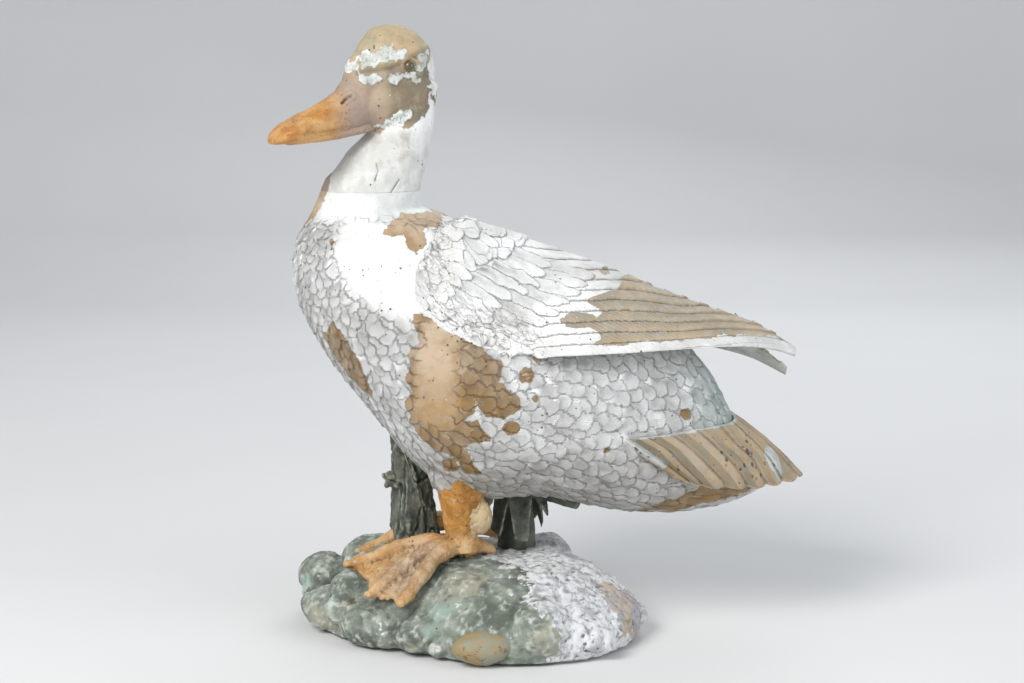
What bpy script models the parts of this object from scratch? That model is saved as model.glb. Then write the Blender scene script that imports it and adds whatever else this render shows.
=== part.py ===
"""Standing duck garden figure: a painted cast-resin duck on a rock base.

The figure is glued up from separate castings on steel armature rods, and each casting, rod, plug, eye and
pad is an object of its own. Metres, +Z up. The duck faces -X and its left side faces -Y. The origin is the
bottom centre of the figure's bounding box, on the surface that the felt pads stand on.
"""

import math

import bmesh
import bpy
from mathutils import Matrix, Vector

# Gap between neighbouring castings, which the glue line fills, and the wider one round what rock beds.
CLEARANCE = 0.0003
BEDDING = 0.0008

# Duck body: an egg-shaped hollow casting, from the breast at -X to the tip under the tail at +X.
BODY_LENGTH = 0.290
BODY_HEIGHT = 0.197
BODY_WIDTH = 0.152
BODY_WALL = 0.006
BODY_X = -0.005

# Legs: the visible shank between foot and belly, how far the belly hangs beside it, and where the pair
# stands along and across the body.
LEG_HEIGHT = 0.038
BELLY_HANG = 0.015
LEG_RADIUS = 0.0115
LEG_X = -0.047
LEG_SPREAD = 0.060
LEG_SPIGOT_RADIUS = 0.0065
LEG_SPIGOT_LENGTH = 0.014

# Webbed foot: toe length from the ankle and the thickness of toe and web.
TOE_LENGTH = 0.060
TOE_RADIUS = 0.0050
WEB_THICKNESS = 0.0050
HOCK_RADIUS = 0.0065
ANKLE_RISE = 0.004

# Rock base: a hollow mound, closed underneath by a board.
BASE_LENGTH = 0.206
BASE_DEPTH = 0.204
BASE_HEIGHT = 0.045
BASE_WALL = 0.009
BASE_X = -0.041
BASE_Y = -0.011
BASE_SLANT = math.radians(147)
BOARD_THICKNESS = 0.005
BOARD_RIM = 0.005

# Felt pads under the board.
PAD_RADIUS = 0.011
PAD_THICKNESS = 0.002
PAD_SPACING_X = 0.116
PAD_SPACING_Y = 0.062

# Steel armature rods.
LEG_ROD_RADIUS = 0.0025
LEG_ROD_REACH = 0.050
NECK_ROD_RADIUS = 0.0025
NECK_ROD_LENGTH = 0.115

# Neck and head.
NECK_HEIGHT = 0.056
NECK_RADIUS = 0.0200
NECK_SPIGOT_RADIUS = 0.018
NECK_SPIGOT_LENGTH = 0.022
HEAD_LENGTH = 0.056
HEAD_HEIGHT = 0.053
HEAD_WIDTH = 0.043
HEAD_TURN = math.radians(33)
BILL_LENGTH = 0.064
BILL_WIDTH = 0.027
EYE_RADIUS = 0.0042

# Wings and tail, as long and as wide as the body carries them.
WING_LENGTH = BODY_LENGTH * 0.795
WING_DROP = math.radians(3.4)
WING_THICKNESS = 0.0065
WING_PEG_RADIUS = 0.004
WING_PEG_LENGTH = 0.012
TAIL_LENGTH = BODY_LENGTH * 0.383
TAIL_THICKNESS = 0.0090
TAIL_SPREAD = BODY_WIDTH * 0.434

# Stump under the breast and branch under the belly.
STUMP_RADIUS = 0.0135
STUMP_X = -0.077
STUMP_Y = 0.018
STUMP_TWIG_LENGTH = 0.017
BRANCH_RADIUS = 0.0115
BRANCH_X = -0.013
BRANCH_ARM_LENGTH = 0.038
LEAF_LENGTH = 0.040
LEAF_WIDTH = 0.021
LEAF_THICKNESS = 0.0045

# Smooth pebble bedded in the front edge of the base.
PEBBLE_LENGTH = 0.037
PEBBLE_DEPTH = 0.025
PEBBLE_HEIGHT = 0.0216

# Casting skins: points round a body section, and the grain at which clay shapes are melted together.
RING = 28
BODY_GRAIN = 0.0036
BASE_GRAIN = 0.0028
HEAD_GRAIN = 0.0026
STUMP_GRAIN = 0.0022
LEAF_GRAIN = 0.0018
LEG_GRAIN = 0.0017

# Angle between faces from which an edge is left sharp.
SHARP_ANGLE = math.radians(35)

# Heights and places that follow from the sizes above.
BASE_FLOOR = PAD_THICKNESS + CLEARANCE
FOOT_Z = BASE_FLOOR + BASE_HEIGHT
BELLY_Z = FOOT_Z + LEG_HEIGHT - BELLY_HANG
BREAST_X = BODY_X - BODY_LENGTH / 2


# ---------------------------------------------------------------- modelling helpers


def clear_scene():
    for obj in list(bpy.data.objects):
        bpy.data.objects.remove(obj)


def finish(name, colour, roughness, metallic=0.0):
    """A plain Principled material for one kind of surface."""
    material = bpy.data.materials.get(name) or bpy.data.materials.new(name)
    material.use_nodes = True
    shader = material.node_tree.nodes["Principled BSDF"]
    shader.inputs["Base Color"].default_value = (*colour, 1.0)
    shader.inputs["Roughness"].default_value = roughness
    shader.inputs["Metallic"].default_value = metallic
    return material


def to_object(name, bm, material=None):
    """The bmesh as an object in the scene, with its normals pointing out."""
    bmesh.ops.recalc_face_normals(bm, faces=bm.faces)
    mesh = bpy.data.meshes.new(name)
    bm.to_mesh(mesh)
    bm.free()
    obj = bpy.data.objects.new(name, mesh)
    bpy.context.scene.collection.objects.link(obj)
    if material:
        mesh.materials.append(material)
    return obj


def as_helper(obj):
    """A cutter or a mould shape: it shapes other pieces and isn't a piece itself."""
    obj.hide_render = True
    obj.display_type = "WIRE"
    return obj


def smooth_rows(rows, steps):
    """The rows with more between them, along a Catmull-Rom curve through every column."""
    made = []
    for i in range(len(rows) - 1):
        before, start, end, after = rows[max(i - 1, 0)], rows[i], rows[i + 1], rows[min(i + 2, len(rows) - 1)]
        for step in range(steps):
            t = step / steps
            made.append([
                0.5 * (2 * b + (c - a) * t + (2 * a - 5 * b + 4 * c - d) * t**2
                       + (3 * b - a - 3 * c + d) * t**3)
                for a, b, c, d in zip(before, start, end, after)
            ])
    return made + [list(rows[-1])]


def add_loft(bm, rings):
    """Bridges rings of points into one closed skin with a flat cap at each end."""
    loops = [[bm.verts.new(point) for point in ring] for ring in rings]
    count = len(loops[0])
    for lower, upper in zip(loops, loops[1:]):
        for i in range(count):
            j = (i + 1) % count
            bm.faces.new((lower[i], lower[j], upper[j], upper[i]))
    bm.faces.new(loops[0][::-1])
    bm.faces.new(loops[-1])


def loft(name, rings, material=None):
    bm = bmesh.new()
    add_loft(bm, rings)
    return to_object(name, bm, material)


def tube_rings(points, radii, count=12):
    """Round rings along a path of points, each square to the path and none twisted against the one before."""
    points = [Vector(p) for p in points]
    rings = []
    side = None
    for i, point in enumerate(points):
        along = (points[min(i + 1, len(points) - 1)] - points[max(i - 1, 0)]).normalized()
        if side is None:
            side = along.cross(Vector((0, 1, 0)) if abs(along.y) < 0.8 else Vector((0, 0, 1)))
        side = (side - along * side.dot(along)).normalized()
        up = side.cross(along)
        turns = [2 * math.pi * k / count for k in range(count)]
        rings.append([point + radii[i] * (math.cos(a) * side + math.sin(a) * up) for a in turns])
    return rings


def add_ball(bm, centre, radii, turn=0.0):
    """An ellipsoid, turned about its upright axis."""
    made = bmesh.ops.create_uvsphere(bm, u_segments=16, v_segments=9, radius=1.0)["verts"]
    shape = Matrix.Translation(centre) @ Matrix.Rotation(turn, 4, "Z") @ Matrix.Diagonal((*radii, 1))
    bmesh.ops.transform(bm, matrix=shape, verts=made)


def cylinder(name, start, end, radius, material=None, count=24):
    return loft(name, tube_rings([start, end], [radius, radius], count), material)


def fuse(obj, voxel, keep, smoothing=4):
    """Melts overlapping shapes in one object into a single casting skin, as clay on an armature."""
    melt = obj.modifiers.new("melt", "REMESH")
    melt.mode = "VOXEL"
    melt.voxel_size = voxel
    soften = obj.modifiers.new("soften", "SMOOTH")
    soften.iterations = smoothing
    thin = obj.modifiers.new("thin", "DECIMATE")
    thin.ratio = keep
    return obj


def set_mesh(obj):
    """Applies the object's modifiers to its mesh, so that cutters can be copied from the finished skin."""
    graph = bpy.context.evaluated_depsgraph_get()
    mesh = bpy.data.meshes.new_from_object(obj.evaluated_get(graph))
    obj.modifiers.clear()
    obj.data = mesh
    return obj


def grown(obj, gap):
    """A copy of the object's skin, moved out by the gap along its normals, as a cutter for its neighbours."""
    copy = obj.copy()
    copy.data = obj.data.copy()
    copy.name = "cutter_" + obj.name
    bpy.context.scene.collection.objects.link(copy)
    swell = copy.modifiers.new("swell", "DISPLACE")
    swell.strength = gap
    swell.mid_level = 0.0
    return as_helper(set_mesh(copy))


def boolean(obj, other, operation):
    change = obj.modifiers.new(operation.lower(), "BOOLEAN")
    change.operation = operation
    change.solver = "EXACT"
    change.object = other
    return obj


def cut(obj, *cutters):
    for cutter in cutters:
        boolean(obj, as_helper(cutter), "DIFFERENCE")
    return obj


def join(obj, *others):
    for other in others:
        boolean(obj, as_helper(other), "UNION")
    return obj


# ---------------------------------------------------------------- shared shapes

# Along the body: share of its length, top and bottom as shares of its height above the belly, half width
# as a share of the full half width.
BODY_ROWS = [
    (0.000, 0.800, 0.770, 0.06),
    (0.013, 0.890, 0.670, 0.34),
    (0.072, 0.984, 0.506, 0.66),
    (0.168, 1.000, 0.324, 0.88),
    (0.275, 0.969, 0.140, 0.98),
    (0.392, 0.893, 0.056, 1.00),
    (0.520, 0.818, 0.062, 0.98),
    (0.648, 0.745, 0.025, 0.90),
    (0.776, 0.620, 0.003, 0.73),
    (0.883, 0.450, 0.020, 0.52),
    (0.947, 0.270, 0.042, 0.32),
    (1.000, 0.110, 0.080, 0.06),
]


# Over the height of the base: share of its full outline at each height, from the underside to the flat top.
BASE_ROWS = [
    (0.97, 0.00),
    (1.00, 0.22),
    (0.97, 0.45),
    (0.86, 0.66),
    (0.70, 0.87),
    (0.52, 0.985),
    (0.25, 1.00),
]

# Boulders round the base: bearing in degrees, share of the outline, share of the height, and half sizes.
BOULDERS = [
    (168, 0.90, 0.55, 0.019, 0.017, 0.015),
    (186, 0.93, 0.26, 0.018, 0.017, 0.013),
    (198, 0.86, 0.60, 0.014, 0.013, 0.012),
    (216, 0.88, 0.22, 0.022, 0.019, 0.015),
    (245, 0.92, 0.20, 0.018, 0.015, 0.012),
    (300, 0.78, 0.40, 0.030, 0.021, 0.020),
    (333, 0.72, 0.34, 0.032, 0.027, 0.018),
    (5, 0.76, 0.28, 0.024, 0.023, 0.016),
    (42, 0.82, 0.62, 0.020, 0.018, 0.018),
    (66, 0.78, 0.70, 0.018, 0.017, 0.017),
    (98, 0.80, 0.45, 0.022, 0.020, 0.017),
    (135, 0.84, 0.50, 0.022, 0.020, 0.018),
]

# Slack left between the base's sloping wall and the board, as a share of the outline.
SLOPE_IN = 0.02

# Way that each foot points, left then right, and the toes: angle outwards from the middle toe, share of its
# length, and how far the tip drops down the slope of the rock.
FOOT_TURNS = (math.radians(30), math.radians(14))
TOES = [(math.radians(-34), 1.14, 0.008), (0.0, 0.97, 0.016), (math.radians(24), 0.88, 0.016)]

# How far the spigot on each leg reaches up from the lowest point of the belly.
LEG_SOCKET_DEPTH = 0.036


def body_point(along, up, across=0.0):
    """A point given by shares of the body: from the breast, up from the belly, and out to either side."""
    return Vector((BREAST_X + along * BODY_LENGTH, across * BODY_WIDTH / 2, BELLY_Z + up * BODY_HEIGHT))


def body_rings(inset, steps=3):
    """Egg-shaped cross-sections, wider low down, drawn in by the inset for the inside of the casting."""
    rings = []
    for along, top, bottom, width in smooth_rows(BODY_ROWS, steps):
        x = BREAST_X + along * BODY_LENGTH
        middle = BODY_X + (x - BODY_X) * (1 - 2 * inset / BODY_LENGTH)
        high, low = BELLY_Z + top * BODY_HEIGHT, BELLY_Z + bottom * BODY_HEIGHT
        half = max((high - low) / 2 - inset, 0.0012)
        side = max(width * BODY_WIDTH / 2 - inset, 0.0012)
        ring = []
        for k in range(RING):
            angle = 2 * math.pi * k / RING
            across = side * math.sin(angle) * (1 - 0.12 * math.cos(angle))
            ring.append((middle, across, (high + low) / 2 + half * math.cos(angle)))
        rings.append(ring)
    return rings


def sheet_rings(rows, thickness, centre_z):
    """Rings of a curved sheet, one ring to a row. A row is one edge, the point it bulges towards and the
    other edge, as (x, y, z) each, then the depth at either edge as shares of the thickness. The thickness
    is laid on towards a line down the middle of the figure at centre_z."""
    rings = []
    middle = Vector((BODY_X, 0, centre_z))
    for row in rows:
        upper, bulge, lower = Vector(row[0:3]), Vector(row[3:6]), Vector(row[6:9])
        outside, inside = [], []
        for k in range(11):
            v = k / 10
            point = (1 - v) ** 2 * upper + 2 * v * (1 - v) * bulge + v**2 * lower
            inward = Vector((0, middle.y - point.y, middle.z - point.z)).normalized()
            rim = min(1.0, 0.30 + 3.0 * min(v, 1 - v))
            depth = thickness * rim * ((1 - v) * row[9] + v * row[10])
            outside.append(point)
            inside.append(point + depth * inward)
        rings.append(outside + inside[::-1])
    return rings


def ground_outline(share, z):
    """The base's outline at a share of its full size: an oval that lies slantwise, with slight lobes."""
    ring = []
    for k in range(40):
        angle = 2 * math.pi * k / 40
        slant = 0.165 * math.cos(2 * (angle - BASE_SLANT))
        lobes = 0.91 + slant + 0.015 * math.cos(5 * angle + 0.5) + 0.01 * math.cos(7 * angle - 0.9)
        x = BASE_X + share * lobes * BASE_LENGTH / 2 * math.cos(angle)
        y = BASE_Y + share * lobes * BASE_DEPTH / 2 * math.sin(angle)
        ring.append((x, y, z))
    return ring


def foot_place(side):
    """Where the shank meets the foot."""
    return Vector((LEG_X, side * LEG_SPREAD / 2, FOOT_Z))


def head_frame():
    """Places points given forward, to the duck's left and up from the middle of the skull."""
    neck_top = body_point(0.21, 1.0) + Vector((0, 0, NECK_HEIGHT + 0.015))
    return Matrix.Translation(neck_top) @ Matrix.Rotation(math.pi + HEAD_TURN, 4, "Z")


def blob(name, balls, tubes, voxel, keep, colour):
    """One casting modelled in clay: balls and tubes melted together. A ball is (centre, radii, turn)."""
    bm = bmesh.new()
    for centre, radii, turn in balls:
        add_ball(bm, centre, radii, turn)
    for points, radii in tubes:
        add_loft(bm, tube_rings(points, radii))
    return set_mesh(fuse(to_object(name, bm, colour), voxel, keep))


# ---------------------------------------------------------------- base


def make_pads(felt):
    """Four felt discs that keep the base off the surface it stands on."""
    pads = []
    for row in (-1, 1):
        for column in (-1, 1):
            place = Vector((row * PAD_SPACING_X / 2, column * PAD_SPACING_Y / 2, 0))
            place = Matrix.Rotation(BASE_SLANT - math.pi, 3, "Z") @ place + Vector((BASE_X, BASE_Y, 0))
            name = f"felt_pad_{len(pads) + 1}"
            pads.append(cylinder(name, place, place + Vector((0, 0, PAD_THICKNESS)), PAD_RADIUS, felt))
    return pads


def make_board(wood):
    """The board let into the hollow underside of the base."""
    share = board_seat() - 4 * CLEARANCE / BASE_DEPTH
    rings = [ground_outline(share, z) for z in (BASE_FLOOR, BASE_FLOOR + BOARD_THICKNESS)]
    return loft("base_board", rings, wood)


def board_seat():
    """The opening that the board sits in, as a share of the base's outline."""
    return 1 - 2 * BASE_WALL / BASE_DEPTH - SLOPE_IN


def make_base(stone, neighbours, rods):
    """The rock base: a mound with boulders round its edge, hollow underneath, with a step for the board."""
    bm = bmesh.new()
    rings = []
    for share, height in BASE_ROWS:
        rings.append(ground_outline(share, BASE_FLOOR - 0.004 + height * (BASE_HEIGHT + 0.004)))
    add_loft(bm, rings)
    for bearing, share, height, length, width, tall in BOULDERS:
        edge = Vector(ground_outline(share, 0.0)[round(bearing / 9) % 40])
        add_ball(bm, edge + Vector((0, 0, BASE_FLOOR + height * BASE_HEIGHT)), (length, width, tall))
    base = set_mesh(fuse(to_object("base_rock", bm, stone), BASE_GRAIN, 0.060, 3))
    floor = loft("cutter_floor", [ground_outline(1.6, -0.030), ground_outline(1.6, BASE_FLOOR)])
    seat_share = board_seat()
    step_share = seat_share - 2 * BOARD_RIM / BASE_DEPTH
    step_z = BASE_FLOOR + BOARD_THICKNESS + CLEARANCE
    seat = loft("cutter_seat", [ground_outline(seat_share, -0.002), ground_outline(seat_share, step_z)])
    hollow = loft("cutter_hollow", [
        ground_outline(step_share, step_z - 0.001),
        ground_outline(step_share * 0.84, BASE_FLOOR + BASE_HEIGHT * 0.40),
        ground_outline(step_share * 0.62, BASE_FLOOR + BASE_HEIGHT - 2.1 * BASE_WALL),
    ])
    cut(base, floor, seat, hollow)
    for piece in neighbours:
        cut(base, grown(piece, BEDDING))
    for rod in rods:
        cut(base, grown(rod, CLEARANCE))
    return base


# ---------------------------------------------------------------- legs


def make_leg(name, side, paint, belly):
    """One leg and its webbed foot: three toes forward with the web between them, and a short toe behind."""
    ankle = foot_place(side)
    ankle.z += TOE_RADIUS
    turn = FOOT_TURNS[0] if side < 0 else FOOT_TURNS[1]
    tubes = []
    tips = []
    for spread, share, drop in TOES:
        way = Vector((-math.cos(turn + spread), side * math.sin(turn + spread), 0))
        knuckle = ankle + way * TOE_LENGTH * share * 0.5 + Vector((0, 0, 0.0015 - drop * 0.35))
        tip = ankle + way * TOE_LENGTH * share + Vector((0, 0, -drop))
        tips.append(tip)
        tubes.append(([ankle + Vector((0, 0, ANKLE_RISE)), knuckle, tip],
                      [TOE_RADIUS * 1.3, TOE_RADIUS, TOE_RADIUS * 0.8]))
    back = Vector((math.cos(turn), -side * math.sin(turn), 0))
    tubes.append(([ankle, ankle + back * TOE_LENGTH * 0.36 + Vector((0, 0, -0.002))],
                  [TOE_RADIUS * 1.2, TOE_RADIUS * 0.7]))
    top = Vector((LEG_X, side * LEG_SPREAD / 2, BELLY_Z + 0.050))
    knee = (ankle + top) / 2
    tubes.append(([ankle, ankle + Vector((0, 0, ANKLE_RISE * 3)), knee + Vector((0, 0, ANKLE_RISE)), top],
                  [LEG_RADIUS * 1.15, LEG_RADIUS * 0.95, LEG_RADIUS * 1.30, LEG_RADIUS * 1.7]))
    bm = bmesh.new()
    for points, radii in tubes:
        add_loft(bm, tube_rings(points, radii))
    add_ball(bm, ankle + Vector((LEG_RADIUS * 0.7, 0, HOCK_RADIUS * 2)), (HOCK_RADIUS,) * 3)
    low = Vector((0, 0, -TOE_RADIUS * 0.9))
    high = low + Vector((0, 0, WEB_THICKNESS))
    for first, second in zip(tips, tips[1:]):
        middle = (first + second) / 2 * 0.9 + ankle * 0.1
        outline = [ankle, first, middle, second]
        add_loft(bm, [[p + low for p in outline], [p + high for p in outline]])
    leg = set_mesh(fuse(to_object(name, bm, paint), LEG_GRAIN, 0.085))
    cut(leg, grown(belly, CLEARANCE))
    set_mesh(leg)
    spigot_low = ankle + Vector((0, 0, -TOE_RADIUS - LEG_SPIGOT_LENGTH))
    below = cylinder("join_" + name + "_low", spigot_low, ankle, LEG_SPIGOT_RADIUS)
    socket = leg_socket_top(side)
    above = cylinder("join_" + name + "_high", knee, socket, LEG_SPIGOT_RADIUS)
    join(leg, below, above)
    return set_mesh(leg)


def leg_socket_top(side):
    """Where the leg's spigot ends, inside the belly wall."""
    return Vector((LEG_X, side * LEG_SPREAD / 2, BELLY_Z + LEG_SOCKET_DEPTH))


def make_leg_rod(name, side, steel):
    """The steel rod cast through a leg, from the hollow of the base to the hollow of the body."""
    x, y = LEG_X, side * LEG_SPREAD / 2
    low = BASE_FLOOR + BOARD_THICKNESS + 0.006
    return cylinder(name, (x, y, low), (x, y, BELLY_Z + LEG_ROD_REACH), LEG_ROD_RADIUS, steel, 16)


# ---------------------------------------------------------------- body


def body_skin(coat):
    """The outside of the body: the egg shape with the root of the neck flaring up out of it."""
    bm = bmesh.new()
    add_loft(bm, body_rings(0.0))
    low, high = body_point(0.13, 0.70), neck_joint()
    flare = [low, (low + high) / 2 + Vector((0.001, 0, 0.006)), high, high + Vector((0.006, 0, 0.014))]
    radii = [NECK_RADIUS * 1.55, NECK_RADIUS * 1.80, NECK_RADIUS * 1.46, NECK_RADIUS * 1.25]
    add_loft(bm, tube_rings(flare, radii, 20))
    skin = set_mesh(fuse(to_object("body_casting", bm, coat), BODY_GRAIN, 0.080, 6))
    joint = neck_joint()
    above = loft("cutter_neck_joint", [square(joint, joint.z), square(joint, joint.z + 0.08)])
    return set_mesh(cut(skin, above))


def neck_joint():
    """The middle of the flat joint between the neck and the body."""
    return body_point(0.165, 1.0) + Vector((0, 0, 0.004))


def square(centre, z, half=0.060):
    return [(centre.x + a * half, centre.y + b * half, z) for a, b in ((-1, -1), (1, -1), (1, 1), (-1, 1))]


def hollow_body(skin, cutters):
    """Hollows the body from its neck down and makes the sockets for what plugs into it."""
    joint = neck_joint()
    hollow = loft("cutter_body_hollow", body_rings(BODY_WALL, 2))
    mouth = cylinder("cutter_neck_mouth", joint - Vector((0, 0, 0.040)), joint + Vector((0, 0, 0.01)),
                     NECK_SPIGOT_RADIUS + CLEARANCE, count=28)
    cut(skin, hollow, mouth)
    for cutter in cutters:
        cut(skin, cutter)
    return set_mesh(skin)


# ---------------------------------------------------------------- wings


def wing_rows(side):
    """The left wing's stations. Spread and height are shares of the body's half width and height."""
    rows = []
    start = body_point(0.269, 0)
    for share, upper, bulge, lower, root, rim in WING_ROWS:
        row = []
        for spread, height in (upper, bulge, lower):
            row += [start.x + share * WING_LENGTH, -spread * BODY_WIDTH / 2, BELLY_Z + height * BODY_HEIGHT]
        rows.append(row + [root, rim])
    rows = smooth_rows(rows, 2)
    if side < 0:
        return rows
    pivot = Vector((start.x, 0, BELLY_Z + 0.8 * BODY_HEIGHT))
    turned = []
    for row in rows:
        made = []
        for i in (0, 3, 6):
            point = Matrix.Rotation(WING_DROP, 3, "Y") @ (Vector(row[i:i + 3]) - pivot) + pivot
            made += [point.x, -point.y, point.z]
        turned.append(made + row[9:])
    return turned


# Along the wing: upper edge, bulge and lower edge as (spread, height), and the depth at either edge.
WING_ROWS = [
    (0.00, (0.74, 0.815), (0.90, 0.785), (0.945, 0.710), 0.8, 0.8),
    (0.08, (0.34, 0.930), (0.90, 0.850), (1.030, 0.640), 1.0, 1.0),
    (0.20, (0.10, 0.905), (0.82, 0.845), (1.055, 0.590), 1.0, 1.0),
    (0.32, (0.035, 0.855), (0.74, 0.825), (1.060, 0.560), 1.0, 1.0),
    (0.48, (0.030, 0.790), (0.70, 0.755), (0.950, 0.558), 1.2, 0.9),
    (0.64, (0.030, 0.716), (0.57, 0.690), (0.780, 0.560), 1.3, 0.8),
    (0.78, (0.030, 0.655), (0.40, 0.640), (0.560, 0.558), 1.2, 0.7),
    (0.90, (0.030, 0.604), (0.22, 0.596), (0.330, 0.545), 1.0, 0.7),
    (1.00, (0.030, 0.530), (0.08, 0.530), (0.120, 0.512), 0.6, 0.6),
]


def make_wing(name, side, coat, skin):
    """A folded wing: a curved shell on the side of the body, free at the tip, with a peg behind."""
    wing = loft(name, sheet_rings(wing_rows(side), WING_THICKNESS, BELLY_Z + BODY_HEIGHT * 0.4), coat)
    cut(wing, grown(skin, CLEARANCE))
    set_mesh(wing)
    join(wing, wing_peg("join_" + name, side, WING_PEG_RADIUS))
    return set_mesh(wing)


def wing_peg(name, side, radius, extra=0.0):
    """The peg on the back of a wing, and with a larger radius the socket for it."""
    root = body_point(0.36, 0.70)
    outer = BODY_WIDTH / 2 * 0.88
    start = Vector((root.x, side * outer, root.z))
    end = Vector((root.x, side * (outer - WING_PEG_LENGTH - extra), root.z))
    return cylinder(name, start, end, radius)


# ---------------------------------------------------------------- tail

# From the left edge of the fan to its middle: root, bulge and tip as (along, spread, height), and the depth
# at root and tip. Along is a share of the fan's length from its left root, spread of its full half width.
TAIL_ROWS = [
    (-0.04, 0.98, 0.298, 0.15, 1.02, 0.232, 0.31, 0.89, 0.158, 0.9, 0.5),
    (0.13, 0.92, 0.300, 0.30, 0.95, 0.232, 0.44, 0.80, 0.134, 1.2, 0.6),
    (0.37, 0.70, 0.308, 0.55, 0.77, 0.228, 0.66, 0.64, 0.121, 1.3, 0.6),
    (0.57, 0.36, 0.308, 0.74, 0.42, 0.226, 0.86, 0.36, 0.116, 1.4, 0.6),
    (0.60, 0.00, 0.312, 0.82, 0.00, 0.235, 1.00, 0.00, 0.118, 1.4, 0.6),
]


def make_tail(coat, skin):
    """The tail fan: a saddle of broad feathers glued over the rump, spread and drooping at the sides."""
    rows = []
    for side, order in ((-1, TAIL_ROWS), (1, TAIL_ROWS[-2::-1])):
        for row in order:
            made = []
            for i in (0, 3, 6):
                along, spread, height = row[i:i + 3]
                x = body_point(0.704, 0).x + along * TAIL_LENGTH
                made += [x, side * spread * TAIL_SPREAD, BELLY_Z + height * BODY_HEIGHT]
            rows.append(made + list(row[9:]))
    tail = loft("tail_fan", sheet_rings(smooth_rows(rows, 2), TAIL_THICKNESS, BELLY_Z - 0.03), coat)
    cut(tail, grown(skin, CLEARANCE))
    return set_mesh(tail)


# ---------------------------------------------------------------- head and neck


def make_head(coat):
    """Neck and head in one casting: the joint is flat, with a spigot that plugs into the body."""
    joint = neck_joint()
    frame = head_frame()
    skull = frame @ Vector((0.000, 0, 0.004))
    cheek = frame @ Vector((0.002, 0, -0.014))
    brow = frame @ Vector((0.020, 0, 0.000))
    turn = HEAD_TURN
    balls = [
        (skull, (HEAD_LENGTH * 0.50, HEAD_WIDTH * 0.47, HEAD_HEIGHT * 0.56), turn),
        (cheek, (HEAD_LENGTH * 0.46, HEAD_WIDTH * 0.50, HEAD_HEIGHT * 0.36), turn),
        (brow, (HEAD_LENGTH * 0.22, HEAD_WIDTH * 0.30, HEAD_HEIGHT * 0.36), turn),
    ]
    rise = NECK_HEIGHT
    path = [
        joint + Vector((-0.001, 0, -0.12 * rise)),
        joint + Vector((0.005, 0, 0.22 * rise)),
        joint + Vector((0.014, 0, 0.50 * rise)),
        joint + Vector((0.018, 0, 0.80 * rise)),
        frame @ Vector((-0.010, 0, -0.002)),
    ]
    neck = (path, [NECK_RADIUS * share for share in (1.52, 1.27, 1.03, 0.95, 0.98)])
    head = blob("head_neck", balls, [neck], HEAD_GRAIN, 0.12, coat)
    flat = joint.z + CLEARANCE
    below = loft("cutter_head_joint", [square(joint, flat - 0.08), square(joint, flat)])
    set_mesh(cut(head, below))
    spigot = cylinder("join_neck_spigot", joint - Vector((0, 0, NECK_SPIGOT_LENGTH)),
                      joint + Vector((0, 0, 0.006)), NECK_SPIGOT_RADIUS, count=28)
    return set_mesh(join(head, spigot))


def bill_rings(rows):
    """Flat-bottomed ovals square to the bill. A row is (forward, top, bottom, half width)."""
    frame = head_frame()
    rings = []
    for forward, top, bottom, width in smooth_rows(rows, 3):
        ring = []
        for k in range(20):
            angle = 2 * math.pi * k / 20
            across = width * math.sin(angle)
            up = math.cos(angle)
            height = (top + bottom) / 2 + (top - bottom) / 2 * (up if up > 0 else -abs(up) ** 0.6)
            ring.append(frame @ Vector((forward, across, height)))
        rings.append(ring)
    return rings


def scaled_bill(rows):
    """Bill rows in shares of the bill's length and width, as metres in the head's own frame."""
    root = HEAD_LENGTH * 0.30
    wide = BILL_WIDTH / 2
    return [
        (root + forward * BILL_LENGTH, top * wide, bottom * wide, width * wide)
        for forward, top, bottom, width in rows
    ]


# Upper and lower bill, from inside the head to the tip.
UPPER_BILL = [
    (-0.10, 0.90, -1.50, 0.62),
    (0.08, 0.60, -1.85, 0.78),
    (0.30, -0.35, -2.20, 0.84),
    (0.55, -1.05, -2.40, 0.92),
    (0.80, -1.60, -2.55, 1.00),
    (0.94, -2.05, -2.65, 0.88),
    (1.00, -2.35, -2.70, 0.40),
]
LOWER_BILL = [
    (-0.10, -1.40, -2.25, 0.50),
    (0.10, -1.70, -2.40, 0.66),
    (0.40, -2.05, -2.62, 0.72),
    (0.70, -2.30, -2.76, 0.76),
    (0.84, -2.45, -2.80, 0.60),
]


def make_bill(name, rows, paint):
    return loft(name, bill_rings(scaled_bill(rows)), paint)


def make_eye(name, side, glass):
    """A glass bead let into the side of the head."""
    centre = head_frame() @ Vector((HEAD_LENGTH * -0.04, -side * HEAD_WIDTH * 0.45, HEAD_HEIGHT * 0.155))
    bm = bmesh.new()
    add_ball(bm, centre, (EYE_RADIUS,) * 3)
    return to_object(name, bm, glass)


# ---------------------------------------------------------------- stump, leaves and pebble


def make_stump(stone, skin):
    """The broken stump that holds up the breast, with a snapped-off twig pointing forward."""
    low = Vector((STUMP_X, STUMP_Y, FOOT_Z - 0.008))
    high = Vector((STUMP_X - 0.004, STUMP_Y, BELLY_Z + 0.070))
    middle = (low + high) / 2
    tubes = [
        ([low, middle, high], [STUMP_RADIUS * 1.25, STUMP_RADIUS, STUMP_RADIUS * 0.9]),
        ([middle, middle + Vector((-STUMP_TWIG_LENGTH, -0.006, 0.004))], [0.006, 0.004]),
    ]
    balls = [(low + Vector((0.006, -0.008, 0.004)), (0.012, 0.010, 0.009), 0.4)]
    stump = blob("stump", balls, tubes, STUMP_GRAIN, 0.13, stone)
    return set_mesh(cut(stump, grown(skin, CLEARANCE)))


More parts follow.
